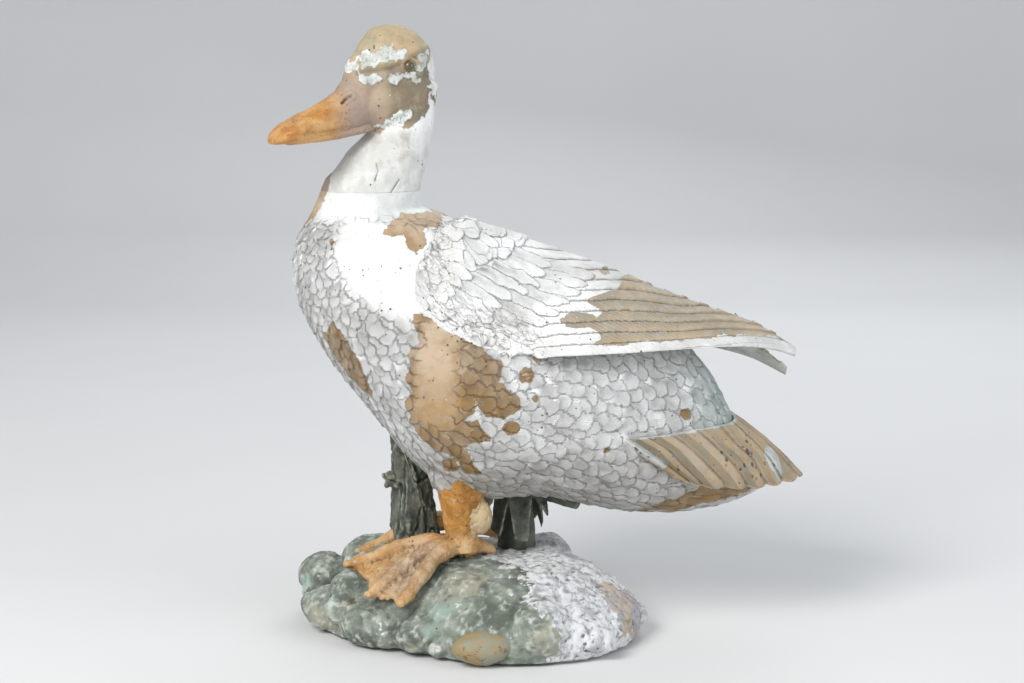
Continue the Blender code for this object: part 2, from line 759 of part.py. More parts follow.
def make_leaf_clump(stone, skin):
    """A short branch under the belly with an arm towards the tail and broad curled leaves round it."""
    low = Vector((BRANCH_X, 0.006, FOOT_Z - 0.008))
    high = Vector((BRANCH_X, 0.004, BELLY_Z + 0.040))
    fork = high - Vector((0, 0, 0.024))
    arm_end = Vector((BRANCH_X + BRANCH_ARM_LENGTH, -0.020, BELLY_Z + 0.008))
    tubes = [
        ([low, (low + high) / 2, high], [BRANCH_RADIUS * 1.2, BRANCH_RADIUS, BRANCH_RADIUS]),
        ([fork, (fork + arm_end) / 2 + Vector((0, 0, 0.002)), arm_end], [0.009, 0.007, 0.0035]),
    ]
    bm = bmesh.new()
    for points, radii in tubes:
        add_loft(bm, tube_rings(points, radii))
    for turn, lean, rise in LEAVES:
        add_leaf(bm, fork + Vector((0, 0, rise)), turn, lean)
    clump = set_mesh(fuse(to_object("leaf_clump", bm, stone), LEAF_GRAIN, 0.15, 3))
    return set_mesh(cut(clump, grown(skin, CLEARANCE)))


# Leaves round the branch: way that each points, how steeply it hangs, and where it starts above the fork.
LEAVES = [
    (math.radians(-75), math.radians(62), 0.004),
    (math.radians(-25), math.radians(40), 0.002),
    (math.radians(-130), math.radians(55), 0.000),
    (math.radians(70), math.radians(50), 0.002),
]


def add_leaf(bm, root, turn, lean):
    """A broad leaf that arches out and hangs down."""
    out = Vector((math.cos(turn), math.sin(turn), 0))
    across = Vector((-out.y, out.x, 0))
    rings = []
    for share, width in ((0.0, 0.35), (0.3, 0.85), (0.6, 1.0), (0.85, 0.6), (1.0, 0.15)):
        reach = LEAF_LENGTH * share
        hang = Vector((0, 0, -reach * math.sin(lean) * share))
        centre = root + out * (reach * math.cos(lean) + 0.004) + hang
        half = across * width * LEAF_WIDTH / 2
        depth = Vector((0, 0, LEAF_THICKNESS / 2)) + out * LEAF_THICKNESS / 3
        low, high = centre - depth, centre + depth
        rings.append([low - half, low + half, high + half, high - half])
    add_loft(bm, rings)


def make_pebble(stone):
    """The smooth pebble bedded in the front edge of the base."""
    edge = Vector(ground_outline(0.965, 0.0)[30])
    centre = edge + Vector((0, 0, BASE_FLOOR + PEBBLE_HEIGHT * 0.49))
    bm = bmesh.new()
    add_ball(bm, centre, (PEBBLE_LENGTH / 2, PEBBLE_DEPTH / 2, PEBBLE_HEIGHT / 2), 0.1)
    pebble = to_object("pebble_front", bm, stone)
    bed = board_seat() + BASE_WALL / BASE_DEPTH
    back = loft("cutter_pebble_back", [ground_outline(bed, -0.01), ground_outline(bed, FOOT_Z)])
    return set_mesh(cut(pebble, back))


# ---------------------------------------------------------------- put the figure together


def shade(obj):
    """Smooths the round surfaces and leaves the cast edges sharp."""
    obj.data.shade_smooth()
    obj.data.set_sharp_from_angle(angle=SHARP_ANGLE)


def centre_figure():
    """Moves everything so that the middle of the figure's bounding box stands over the origin."""
    graph = bpy.context.evaluated_depsgraph_get()
    xs, ys = [], []
    for obj in bpy.data.objects:
        if not obj.hide_render:
            for point in obj.evaluated_get(graph).data.vertices:
                xs.append(point.co.x)
                ys.append(point.co.y)
    for obj in bpy.data.objects:
        obj.location.x -= (min(xs) + max(xs)) / 2
        obj.location.y -= (min(ys) + max(ys)) / 2


def main():
    clear_scene()
    chalk = finish("chalk_white_paint", (0.72, 0.69, 0.62), 0.85)
    tan = finish("bare_tan_resin", (0.48, 0.31, 0.16), 0.7)
    orange = finish("orange_paint", (0.70, 0.30, 0.06), 0.6)
    green = finish("dark_green_paint", (0.06, 0.08, 0.055), 0.7)
    grey = finish("mossy_grey_stone", (0.27, 0.29, 0.25), 0.9)
    pebble_paint = finish("pebble_tan", (0.35, 0.27, 0.15), 0.7)
    glass = finish("olive_eye", (0.16, 0.11, 0.02), 0.2)
    felt = finish("grey_felt", (0.12, 0.12, 0.12), 0.95)
    wood = finish("fibreboard", (0.33, 0.22, 0.12), 0.8)
    steel = finish("steel_rod", (0.30, 0.29, 0.28), 0.45, 1.0)

    skin = body_skin(chalk)
    rod_left = make_leg_rod("leg_rod_left", -1, steel)
    rod_right = make_leg_rod("leg_rod_right", 1, steel)
    leg_left = make_leg("leg_left", -1, orange, skin)
    leg_right = make_leg("leg_right", 1, orange, skin)
    stump = make_stump(green, skin)
    clump = make_leaf_clump(green, skin)
    pebble = make_pebble(pebble_paint)
    wing_left = make_wing("wing_left", -1, chalk, skin)
    wing_right = make_wing("wing_right", 1, chalk, skin)
    make_tail(tan, skin)
    head = make_head(chalk)
    upper = make_bill("bill_upper", UPPER_BILL, orange)
    lower = make_bill("bill_lower", LOWER_BILL, orange)
    eyes = [make_eye("eye_left", -1, glass), make_eye("eye_right", 1, glass)]

    cut(lower, grown(upper, CLEARANCE))
    set_mesh(lower)
    for piece in (upper, lower, *eyes):
        cut(head, grown(piece, CLEARANCE))
    joint = neck_joint()
    neck_rod = cylinder("neck_rod", joint - Vector((0, 0, NECK_SPIGOT_LENGTH + 0.014)),
                        joint + Vector((0.010, 0, NECK_ROD_LENGTH * 0.5)), NECK_ROD_RADIUS, steel, 16)
    cut(head, grown(neck_rod, CLEARANCE))

    sockets = []
    for side in (-1, 1):
        low = Vector((LEG_X, side * LEG_SPREAD / 2, BELLY_Z - 0.012))
        high = leg_socket_top(side) + Vector((0, 0, 0.004))
        sockets.append(cylinder(f"cutter_leg_{side}", low, high, LEG_SPIGOT_RADIUS + CLEARANCE))
        sockets.append(wing_peg(f"cutter_peg_{side}", side, WING_PEG_RADIUS + CLEARANCE, 0.001))
    hollow_body(skin, sockets)
    for leg, rod in ((leg_left, rod_left), (leg_right, rod_right)):
        cut(leg, grown(rod, CLEARANCE))
    cut(stump, grown(leg_right, CLEARANCE))
    cut(clump, grown(leg_left, CLEARANCE), grown(leg_right, CLEARANCE))
    for piece in (leg_left, leg_right, stump, clump):
        set_mesh(piece)

    make_pads(felt)
    make_board(wood)
    make_base(grey, [leg_left, leg_right, stump, clump, pebble], [rod_left, rod_right])
    for obj in bpy.data.objects:
        if not obj.hide_render:
            shade(set_mesh(obj))
    centre_figure()


main()
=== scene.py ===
import math

import bmesh
import bpy
import numpy as np
from mathutils import Matrix, Vector
from mathutils.bvhtree import BVHTree
from mathutils.kdtree import KDTree

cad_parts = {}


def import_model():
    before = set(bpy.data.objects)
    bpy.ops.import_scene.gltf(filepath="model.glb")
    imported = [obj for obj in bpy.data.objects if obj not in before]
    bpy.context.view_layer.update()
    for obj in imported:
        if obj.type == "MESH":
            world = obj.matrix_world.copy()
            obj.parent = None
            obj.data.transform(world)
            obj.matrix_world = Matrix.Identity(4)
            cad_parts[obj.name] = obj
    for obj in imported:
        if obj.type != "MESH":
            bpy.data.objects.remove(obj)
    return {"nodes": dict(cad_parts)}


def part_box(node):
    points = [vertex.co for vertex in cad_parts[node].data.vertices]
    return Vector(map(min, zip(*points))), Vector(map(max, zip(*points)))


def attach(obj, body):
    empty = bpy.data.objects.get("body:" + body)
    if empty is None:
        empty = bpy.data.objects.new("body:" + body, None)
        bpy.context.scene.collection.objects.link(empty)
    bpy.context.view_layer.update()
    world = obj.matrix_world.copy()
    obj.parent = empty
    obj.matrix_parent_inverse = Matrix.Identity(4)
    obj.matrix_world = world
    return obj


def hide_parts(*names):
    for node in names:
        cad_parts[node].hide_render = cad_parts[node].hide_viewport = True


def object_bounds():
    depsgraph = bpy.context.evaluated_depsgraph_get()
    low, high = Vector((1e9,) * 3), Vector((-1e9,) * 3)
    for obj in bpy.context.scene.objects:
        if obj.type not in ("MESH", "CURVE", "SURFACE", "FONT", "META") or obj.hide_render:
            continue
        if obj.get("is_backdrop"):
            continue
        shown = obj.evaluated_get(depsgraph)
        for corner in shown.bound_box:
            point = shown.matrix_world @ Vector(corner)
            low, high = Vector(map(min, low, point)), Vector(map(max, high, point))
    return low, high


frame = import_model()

cad_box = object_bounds()

# ------------------------------------------------------------------------------------------------
# The camera, the pale floor and the studio light. The figure was drawn with its left leg's rod at
# (-47, -30) mm, so the rod in the model says where the drawing's origin stands.
# ------------------------------------------------------------------------------------------------

rod_low, rod_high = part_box("leg_rod_left")
SHIFT = np.array([(rod_low.x + rod_high.x) / 2 + 0.047, (rod_low.y + rod_high.y) / 2 + 0.030, 0.0])

LENS, EYE_HEIGHT, STAND_BACK = 71.7, 0.36, 1.25
MIDDLE_X, MIDDLE_Z = -0.016, 0.1774

camera = bpy.data.objects.new("camera", bpy.data.cameras.new("camera"))
bpy.context.scene.collection.objects.link(camera)
camera.data.lens = LENS
camera.location = Vector((MIDDLE_X, -STAND_BACK, EYE_HEIGHT)) + Vector(SHIFT)
aim = Vector((MIDDLE_X, 0.0, MIDDLE_Z)) + Vector(SHIFT)
camera.rotation_euler = (aim - camera.location).to_track_quat("-Z", "Y").to_euler()
bpy.context.scene.camera = camera


def lamp(name, place, size, watts, colour):
    data = bpy.data.lights.new(name, "AREA")
    data.size = size
    data.energy = watts
    data.color = colour
    light = bpy.data.objects.new(name, data)
    bpy.context.scene.collection.objects.link(light)
    light.location = place
    light.rotation_euler = (Vector((0, 0, 0.16)) - light.location).to_track_quat("-Z", "Y").to_euler()


lamp("soft_box_left", Vector((-1.0, -1.3, 1.35)), 0.9, 34, (1.0, 0.985, 0.96))
lamp("soft_box_right", Vector((1.5, -0.9, 0.8)), 1.4, 13, (0.93, 0.96, 1.0))
lamp("soft_box_back", Vector((0.4, 1.5, 1.2)), 1.4, 10, (0.96, 0.98, 1.0))

sky = bpy.data.worlds.new("studio")
sky.use_nodes = True
sky.node_tree.nodes["Background"].inputs["Color"].default_value = (0.90, 0.95, 1.0, 1)
sky.node_tree.nodes["Background"].inputs["Strength"].default_value = 0.45
bpy.context.scene.world = sky
bpy.context.scene.view_settings.view_transform = "Standard"


def add(tree, kind, links=None, **settings):
    """A node in the tree. links gives each socket, by name or number, a value or another node's output."""
    node = tree.nodes.new(kind)
    for key, value in settings.items():
        setattr(node, key, value)
    for key, value in (links or {}).items():
        if isinstance(value, bpy.types.NodeSocket):
            tree.links.new(value, node.inputs[key])
        else:
            node.inputs[key].default_value = value
    return node


def blank(name):
    """A new material with its tree emptied down to the shader."""
    material = bpy.data.materials.new(name)
    material.use_nodes = True
    return material, material.node_tree, material.node_tree.nodes["Principled BSDF"]


floor_stuff, tree, shader = blank("pale_floor")
place = add(tree, "ShaderNodeTexCoord")
cloud = add(tree, "ShaderNodeTexNoise",
            {"Vector": place.outputs["Object"], "Scale": 3.0, "Detail": 4.0})
tone = add(tree, "ShaderNodeMapRange", {"Value": cloud.outputs["Fac"], "To Min": 0.70, "To Max": 0.76})
paper = add(tree, "ShaderNodeCombineColor",
            {0: tone.outputs[0], 1: tone.outputs[0], 2: tone.outputs[0]})
tree.links.new(paper.outputs[0], shader.inputs["Base Color"])
shader.inputs["Roughness"].default_value = 0.75

bm = bmesh.new()
curve = [(-4.0, 0.0), (1.6, 0.0), (2.0, 0.06), (2.25, 0.25), (2.4, 0.6), (2.4, 3.5)]
rows = [[bm.verts.new((x, y, z)) for x in (-5.0, 5.0)] for y, z in curve]
for low, high in zip(rows, rows[1:]):
    bm.faces.new((low[0], low[1], high[1], high[0])).smooth = True
sweep = bpy.data.meshes.new("floor")
bm.to_mesh(sweep)
bm.free()
floor = bpy.data.objects.new("floor", sweep)
bpy.context.scene.collection.objects.link(floor)
sweep.materials.append(floor_stuff)
floor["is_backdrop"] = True

# ------------------------------------------------------------------------------------------------
# base_rock: the mound that the duck stands on, hollow cast and painted. Small boulders crowd its
# left end and front edge, and its right half carries a crust of rough chalky white.
# ------------------------------------------------------------------------------------------------

BASE_LENGTH, BASE_DEPTH = 0.206, 0.204
BASE_X, BASE_Y = -0.041, -0.011
BASE_SLANT = math.radians(147)
BASE_FLOOR = 0.0023
BASE_HEIGHT = 0.045
FOOT_Z = BASE_FLOOR + BASE_HEIGHT


def lattice(i, j, k, seed):
    """A fixed random number from 0 to 1 for each corner of a grid."""
    mixed = (i * 374761393 + j * 668265263 + k * 2147483647 + seed * 1274126177) & 0xFFFFFFFF
    mixed = ((mixed ^ (mixed >> 13)) * 1274126177) & 0xFFFFFFFF
    return ((mixed ^ (mixed >> 16)) & 0xFFFF) / 65535.0


def lumps(points, size, seed=0):
    """Smooth random lumps of about this size, from -1 to 1."""
    scaled = points / size + 1000.0
    low = np.floor(scaled).astype(np.int64)
    part = scaled - low
    part = part * part * (3 - 2 * part)
    total = 0.0
    for corner in range(8):
        step = np.array([corner & 1, (corner >> 1) & 1, corner >> 2])
        weight = np.prod(np.where(step, part, 1 - part), axis=1)
        i, j, k = (low + step).T
        total = total + weight * lattice(i, j, k, seed)
    return 2 * total - 1


def rubble(points, size, seed=0, steps=4, fade=0.5):
    """Lumps on lumps, each finer than the last."""
    total, weight, whole = 0.0, 1.0, 0.0
    for step in range(steps):
        total = total + weight * lumps(points, size / 2**step, seed + 17 * step)
        whole += weight
        weight *= fade
    return total / whole


def cells(points, size, seed=0):
    """Distance to the nearest and to the next of randomly placed stones, as shares of their spacing."""
    scaled = points / size + 1000.0
    home = np.floor(scaled).astype(np.int64)
    first = np.full(len(points), 9.0)
    second = np.full(len(points), 9.0)
    for dx in (-1, 0, 1):
        for dy in (-1, 0, 1):
            for dz in (-1, 0, 1):
                i, j, k = (home + np.array([dx, dy, dz])).T
                spot = np.stack([i + lattice(i, j, k, seed), j + lattice(i, j, k, seed + 1),
                                 k + lattice(i, j, k, seed + 2)], axis=1)
                far = np.linalg.norm(scaled - spot, axis=1)
                second = np.minimum(second, np.maximum(first, far))
                first = np.minimum(first, far)
    return first, second


def ease(low, high, value):
    """0 below low, 1 above high and smooth between."""
    share = np.clip((value - low) / (high - low), 0.0, 1.0)
    return share * share * (3 - 2 * share)


def points_of(obj):
    flat = np.empty(len(obj.data.vertices) * 3, np.float32)
    obj.data.vertices.foreach_get("co", flat)
    return flat.reshape(-1, 3).astype(float)


def normals_of(obj):
    flat = np.empty(len(obj.data.vertices) * 3, np.float32)
    obj.data.vertex_normals.foreach_get("vector", flat)
    return flat.reshape(-1, 3).astype(float)


def move_points(obj, points):
    obj.data.vertices.foreach_set("co", points.astype(np.float32).ravel())
    obj.data.update()


def soften(obj, values, rounds):
    """Values at the points, averaged with their neighbours' so many times."""
    ends = np.empty(len(obj.data.edges) * 2, np.int32)
    obj.data.edges.foreach_get("vertices", ends)
    a, b = ends.reshape(-1, 2).T
    count = np.bincount(a, minlength=len(values)) + np.bincount(b, minlength=len(values)) + 1.0
    values = values.astype(float)
    for _ in range(rounds):
        total = values + np.bincount(a, values[b], len(values)) + np.bincount(b, values[a], len(values))
        values = total / count
    return values


def hollows(obj, rounds=3, depth=0.0004):
    """How far each point lies in a hollow (above 0) or stands out on an edge (below 0), from -1 to 1."""
    points, normals = points_of(obj), normals_of(obj)
    mean = np.stack([soften(obj, points[:, axis], rounds) for axis in range(3)], axis=1)
    return np.clip(np.einsum("ij,ij->i", mean - points, normals) / depth, -1.0, 1.0)


def record(obj, **fields):
    """Keeps fields measured over the surface with the mesh, for the paint to read."""
    for name, values in fields.items():
        layer = obj.data.attributes.new(name, "FLOAT", "POINT")
        layer.data.foreach_set("value", np.asarray(values, np.float32))


def ball(bm, centre, radii, turn=0.0, segments=24, rings=14):
    made = bmesh.ops.create_uvsphere(bm, u_segments=segments, v_segments=rings, radius=1.0)["verts"]
    shape = Matrix.Translation(Vector(centre)) @ Matrix.Rotation(turn, 4, "Z")
    bmesh.ops.transform(bm, matrix=shape @ Matrix.Diagonal((*radii, 1)), verts=made)


def skin_over(bm, rings):
    """A closed skin over rings of points, with a flat cap at each end."""
    loops = [[bm.verts.new(point) for point in ring] for ring in rings]
    count = len(loops[0])
    for lower, upper in zip(loops, loops[1:]):
        for i in range(count):
            j = (i + 1) % count
            bm.faces.new((lower[i], lower[j], upper[j], upper[i]))
    bm.faces.new(loops[0][::-1])
    bm.faces.new(loops[-1])


def limb(bm, path, radii, count=16):
    """A round limb along a path of points."""
    path = [Vector(p) for p in path]
    side = None
    rings = []
    for i, point in enumerate(path):
        along = (path[min(i + 1, len(path) - 1)] - path[max(i - 1, 0)]).normalized()
        if side is None:
            side = along.cross(Vector((0, 1, 0)) if abs(along.y) < 0.8 else Vector((0, 0, 1)))
        side = (side - along * side.dot(along)).normalized()
        up = side.cross(along)
        turns = [2 * math.pi * k / count for k in range(count)]
        rings.append([point + radii[i] * (math.cos(a) * side + math.sin(a) * up) for a in turns])
    skin_over(bm, rings)


def piece(name, bm):
    """The finished mesh as an object, smooth shaded."""
    bmesh.ops.recalc_face_normals(bm, faces=bm.faces)
    mesh = bpy.data.meshes.new(name)
    bm.to_mesh(mesh)
    bm.free()
    obj = bpy.data.objects.new(name, mesh)
    bpy.context.scene.collection.objects.link(obj)
    for face in mesh.polygons:
        face.use_smooth = True
    return obj


def melt(obj, grain, rounds):
    """Melts overlapping clay shapes into one skin of even grain and smooths it."""
    join = obj.modifiers.new("melt", "REMESH")
    join.mode = "VOXEL"
    join.voxel_size = grain
    join.use_smooth_shade = True
    if rounds:
        obj.modifiers.new("soften", "SMOOTH").iterations = rounds
    graph = bpy.context.evaluated_depsgraph_get()
    mesh = bpy.data.meshes.new_from_object(obj.evaluated_get(graph))
    obj.modifiers.clear()
    obj.data = mesh
    return obj


def fit(obj, material, slot, *nodes):
    """Puts the piece in place of its solids, painted, and hangs it from the root."""
    move_points(obj, points_of(obj) + SHIFT)
    obj.data.materials.clear()
    obj.data.materials.append(material)
    for face in obj.data.polygons:
        face.use_smooth = True
    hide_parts(*nodes)
    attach(obj, "root")
    return obj


def outline_radius(angle):
    """The base's outline at a bearing, as a share of its half length."""
    slant = 0.165 * np.cos(2 * (angle - BASE_SLANT))
    return 0.91 + slant + 0.015 * np.cos(5 * angle + 0.5) + 0.01 * np.cos(7 * angle - 0.9)


def on_base(bearing, share):
    """A place on the base at a bearing in degrees and a share of the way out to its edge."""
    angle = math.radians(bearing)
    reach = share * float(outline_radius(angle)) / 2
    return BASE_X + reach * BASE_LENGTH * math.cos(angle), BASE_Y + reach * BASE_DEPTH * math.sin(angle)


MOUND = [(0.97, 0.00), (1.00, 0.22), (0.97, 0.45), (0.86, 0.66), (0.70, 0.87), (0.52, 0.985),
         (0.25, 1.00)]

# Boulders: bearing, share of the way out, height share, then half length, width and height in mm.
BOULDERS = [
    (168, 0.90, 0.55, 19, 17, 15), (186, 0.93, 0.26, 18, 17, 13), (198, 0.86, 0.60, 13, 12, 11),
    (216, 0.88, 0.22, 21, 18, 15), (245, 0.92, 0.20, 17, 15, 12), (300, 0.78, 0.38, 28, 21, 18),
    (333, 0.68, 0.32, 28, 24, 15), (5, 0.73, 0.26, 21, 20, 13), (42, 0.82, 0.62, 19, 17, 18),
    (66, 0.78, 0.70, 18, 17, 17), (98, 0.80, 0.45, 22, 20, 17), (135, 0.84, 0.50, 22, 20, 18),
    (160, 0.97, 0.20, 10, 9, 8), (176, 0.98, 0.42, 8, 8, 8), (192, 1.00, 0.16, 9, 8, 7),
    (204, 0.99, 0.36, 9, 8, 8), (228, 0.97, 0.14, 11, 9, 7), (222, 0.74, 0.62, 9, 8, 6),
    (150, 0.96, 0.45, 10, 9, 8), (256, 0.98, 0.10, 7, 6, 5), (180, 0.72, 0.86, 9, 8, 6),
    (52, 0.92, 0.35, 12, 10, 9), (78, 0.93, 0.40, 12, 10, 10), (115, 0.95, 0.25, 13, 11, 10),
    (30, 0.92, 0.30, 11, 10, 9), (350, 0.93, 0.22, 13, 11, 9), (316, 0.95, 0.20, 14, 12, 8),
]

bm = bmesh.new()
angles = [2 * math.pi * k / 72 for k in range(72)]
rings = []
for share, height in MOUND:
    z = BASE_FLOOR - 0.004 + height * (BASE_HEIGHT + 0.004)
    rings.append([(*on_base(math.degrees(a), share), z) for a in angles])
skin_over(bm, rings)
for bearing, share, height, length, width, tall in BOULDERS:
    x, y = on_base(bearing, share)
    ball(bm, (x, y, BASE_FLOOR + height * BASE_HEIGHT), (length / 1000, width / 1000, tall / 1000),
         bearing)
base = melt(piece("rock_mound", bm), 0.0014, 2)


def crusted(points):
    """How much of the chalky crust lies at each point: on the right half, and not on the rocks behind."""
    edge = points[:, 0] + 0.55 * np.minimum(points[:, 1], -0.01) + 0.043
    return (ease(-0.020, 0.020, edge + 0.014 * rubble(points, 0.03, 3))
            * ease(0.045, 0.020, points[:, 1]))


points, normals = points_of(base), normals_of(base)
crust = crusted(points)
near, after = cells(points, 0.0065, 5)
crumbs = np.clip(after - near, 0, 0.5) * 2
stone = 0.0016 * rubble(points, 0.030, 11) + 0.0020 * rubble(points, 0.009, 12, 5, 0.62)
rough = 0.0030 * rubble(points, 0.012, 13, 5, 0.62) + 0.0009 * (crumbs - 0.5)
points = points + normals * (stone * (1 - crust) + rough * crust
                             + 0.0004 * lumps(points, 0.0028, 14))[:, None]
points[:, 2] = np.maximum(points[:, 2], BASE_FLOOR)
move_points(base, points)



def hollowed(face):
    """Whether the face lies on the underside, where the base is open and its board closes it."""
    centre = face.calc_center_median()
    x, y = (centre.x - BASE_X) / BASE_LENGTH, (centre.y - BASE_Y) / BASE_DEPTH
    flat = max(vert.co.z for vert in face.verts) < BASE_FLOOR + 1e-5
    return flat and 2 * math.hypot(x, y) < 0.88 * outline_radius(math.atan2(y, x))


bm = bmesh.new()
bm.from_mesh(base.data)
under = [face for face in bm.faces if hollowed(face)]
bmesh.ops.delete(bm, geom=under, context="FACES")
bm.to_mesh(base.data)
bm.free()

points = points_of(base)
record(base, crust=crusted(points), hollow=hollows(base, 4, 0.0007),
       rust=ease(0.035, 0.0, np.linalg.norm(points - np.array([0.050, -0.045, 0.018]), axis=1)
                 + 0.010 * rubble(points, 0.012, 21)))


def group(name, inputs, outputs):
    """An empty shader node group with these named inputs and outputs."""
    tree = bpy.data.node_groups.new(name, "ShaderNodeTree")
    for kind, label, value in inputs:
        socket = tree.interface.new_socket(label, in_out="INPUT", socket_type=kind)
        socket.default_value = value
    for kind, label in outputs:
        tree.interface.new_socket(label, in_out="OUTPUT", socket_type=kind)
    return tree, tree.nodes.new("NodeGroupInput"), tree.nodes.new("NodeGroupOutput")


def maths(tree, what, a, b=0.0, clamp=False):
    return add(tree, "ShaderNodeMath", {0: a, 1: b}, operation=what, use_clamp=clamp).outputs[0]


def slope(tree, value, low, high):
    """0 at low, 1 at high and smooth between."""
    return add(tree, "ShaderNodeMapRange", {"Value": value, "From Min": low, "From Max": high},
               interpolation_type="SMOOTHSTEP").outputs[0]


def mixed(tree, factor, a, b):
    """Colour a where the factor is 0 and colour b where it is 1."""
    return add(tree, "ShaderNodeMix", {0: factor, 6: a, 7: b}, data_type="RGBA").outputs[2]


def field(tree, name):
    return add(tree, "ShaderNodeAttribute", attribute_name=name).outputs["Fac"]


def noise(tree, where, scale, detail=4.0, rough=0.55):
    return add(tree, "ShaderNodeTexNoise",
               {"Vector": where, "Scale": scale, "Detail": detail, "Roughness": rough}).outputs["Fac"]


def between(tree, value, low, high):
    """Runs from low to high as the value runs from 0 to 1."""
    return add(tree, "ShaderNodeMapRange", {"Value": value, "To Min": low, "To Max": high}).outputs[0]


def mottled(tree, where, grain, band, a, b):
    """Colour a with clouds of colour b. The grain is the noise's scale, detail and roughness, and the band
    is where b starts and where it is full."""
    return mixed(tree, slope(tree, noise(tree, where, *grain), *band), a, b)


def times(tree, a, b, clamp=False):
    return maths(tree, "MULTIPLY", a, b, clamp)


def plus(tree, a, b):
    return maths(tree, "ADD", a, b)


def use(tree, name, **links):
    """A node group placed in the tree."""
    node = tree.nodes.new("ShaderNodeGroup")
    node.node_tree = bpy.data.node_groups[name]
    for label, value in links.items():
        label = label.replace("_", " ")
        if isinstance(value, bpy.types.NodeSocket):
            tree.links.new(value, node.inputs[label])
        else:
            node.inputs[label].default_value = value
    return node


# Dark specks and pin holes left by the casting: a mask for the colour and a depth for the relief.
tree, given, made = group("pin_holes",
                          [("NodeSocketVector", "Place", (0, 0, 0)),
                           ("NodeSocketFloat", "Spacing", 300.0), ("NodeSocketFloat", "Amount", 0.5)],
                          [("NodeSocketFloat", "Mask"), ("NodeSocketFloat", "Depth")])
dots = add(tree, "ShaderNodeTexVoronoi",
           {"Vector": given.outputs["Place"], "Scale": given.outputs["Spacing"]})
wander = noise(tree, given.outputs["Place"], 60.0, 3.0)
few = slope(tree, wander, 0.68, 0.50)
size = times(tree, given.outputs["Amount"], maths(tree, "SUBTRACT", 0.42, times(tree, few, 0.30)))
inside = add(tree, "ShaderNodeMapRange", {"Value": dots.outputs["Distance"], "From Min": size,
                                          "From Max": times(tree, size, 0.5)}).outputs[0]
pick = slope(tree, add(tree, "ShaderNodeSeparateColor", {0: dots.outputs["Color"]}).outputs[0], 0.62,
             0.70)
mask = times(tree, inside, pick, True)
tree.links.new(mask, made.inputs["Mask"])
tree.links.new(times(tree, mask, -1.0), made.inputs["Depth"])

# Paint that has flaked: the field says how bare a place is, and noise breaks the edge into ragged flakes.
tree, given, made = group("ragged_edge",
                          [("NodeSocketVector", "Place", (0, 0, 0)), ("NodeSocketFloat", "Field", 0.0),
                           ("NodeSocketFloat", "Raggedness", 0.5)],
                          [("NodeSocketFloat", "Mask"), ("NodeSocketFloat", "Shadow_rim")])
big = maths(tree, "SUBTRACT", noise(tree, given.outputs["Place"], 90.0, 6.0, 0.65), 0.5)
chips = add(tree, "ShaderNodeTexVoronoi",
            {"Vector": given.outputs["Place"], "Scale": 260.0, "Randomness": 1.0})
chip = maths(tree, "SUBTRACT", chips.outputs["Distance"], 0.4)
ragged = times(tree, plus(tree, times(tree, big, 2.6), times(tree, chip, 0.35)),
               given.outputs["Raggedness"])
level = plus(tree, given.outputs["Field"], ragged)
tree.links.new(slope(tree, level, -0.03, 0.03), made.inputs["Mask"])
# The rim: a band along each flake's edge, for a painted shadow of the paint's thickness.
rim = times(tree, slope(tree, level, -0.16, -0.02), slope(tree, level, 0.12, 0.0))
tree.links.new(rim, made.inputs["Shadow_rim"])

# Darkening in the hollows, as washed-in dirt and as painted shade, thicker in some places than in others.
tree, given, made = group("dirt_and_shade_in_hollows",
                          [("NodeSocketVector", "Place", (0, 0, 0)), ("NodeSocketFloat", "Hollow", 0.0),
                           ("NodeSocketFloat", "Amount", 1.0)], [("NodeSocketFloat", "Mask")])
patchy = add(tree, "ShaderNodeMapRange",
             {"Value": noise(tree, given.outputs["Place"], 70.0, 5.0, 0.65), "From Min": 0.32,
              "From Max": 0.68, "To Min": 0.35, "To Max": 1.15}).outputs[0]
deep = slope(tree, given.outputs["Hollow"], 0.10, 0.75)
mask = times(tree, times(tree, deep, patchy), given.outputs["Amount"], True)
tree.links.new(mask, made.inputs["Mask"])


def grimed(tree, where, colour, amount, dirt_and_shade_colour):
    """The colour darkened in the hollows of the mesh, with dirt and painted shade."""
    dirt_and_shade_mask = use(tree, "dirt_and_shade_in_hollows", Place=where, Hollow=field(tree, "hollow"), Amount=amount)
    return mixed(tree, dirt_and_shade_mask.outputs["Mask"], colour, dirt_and_shade_colour)


def surface(tree, shader, colour, roughness, height, depth):
    """Joins the colour, the roughness and a fine relief of this depth to the shader."""
    tree.links.new(colour, shader.inputs["Base Color"])
    if isinstance(roughness, bpy.types.NodeSocket):
        tree.links.new(roughness, shader.inputs["Roughness"])
    else:
        shader.inputs["Roughness"].default_value = roughness
    bump = add(tree, "ShaderNodeBump", {"Height": height, "Distance": depth})
    tree.links.new(bump.outputs["Normal"], shader.inputs["Normal"])


stone_paint, tree, shader = blank("mossy_stone_paint")
where = add(tree, "ShaderNodeTexCoord").outputs["Object"]
tone = noise(tree, where, 45.0, 6.0, 0.6)
colour = mixed(tree, slope(tree, tone, 0.35, 0.65), (0.105, 0.125, 0.100, 1), (0.30, 0.335, 0.285, 1))
colour = mottled(tree, where, (34.0, 5.0), (0.54, 0.68), colour, (0.36, 0.35, 0.27, 1))
colour = mottled(tree, where, (50.0, 5.0), (0.56, 0.72), colour, (0.30, 0.39, 0.34, 1))
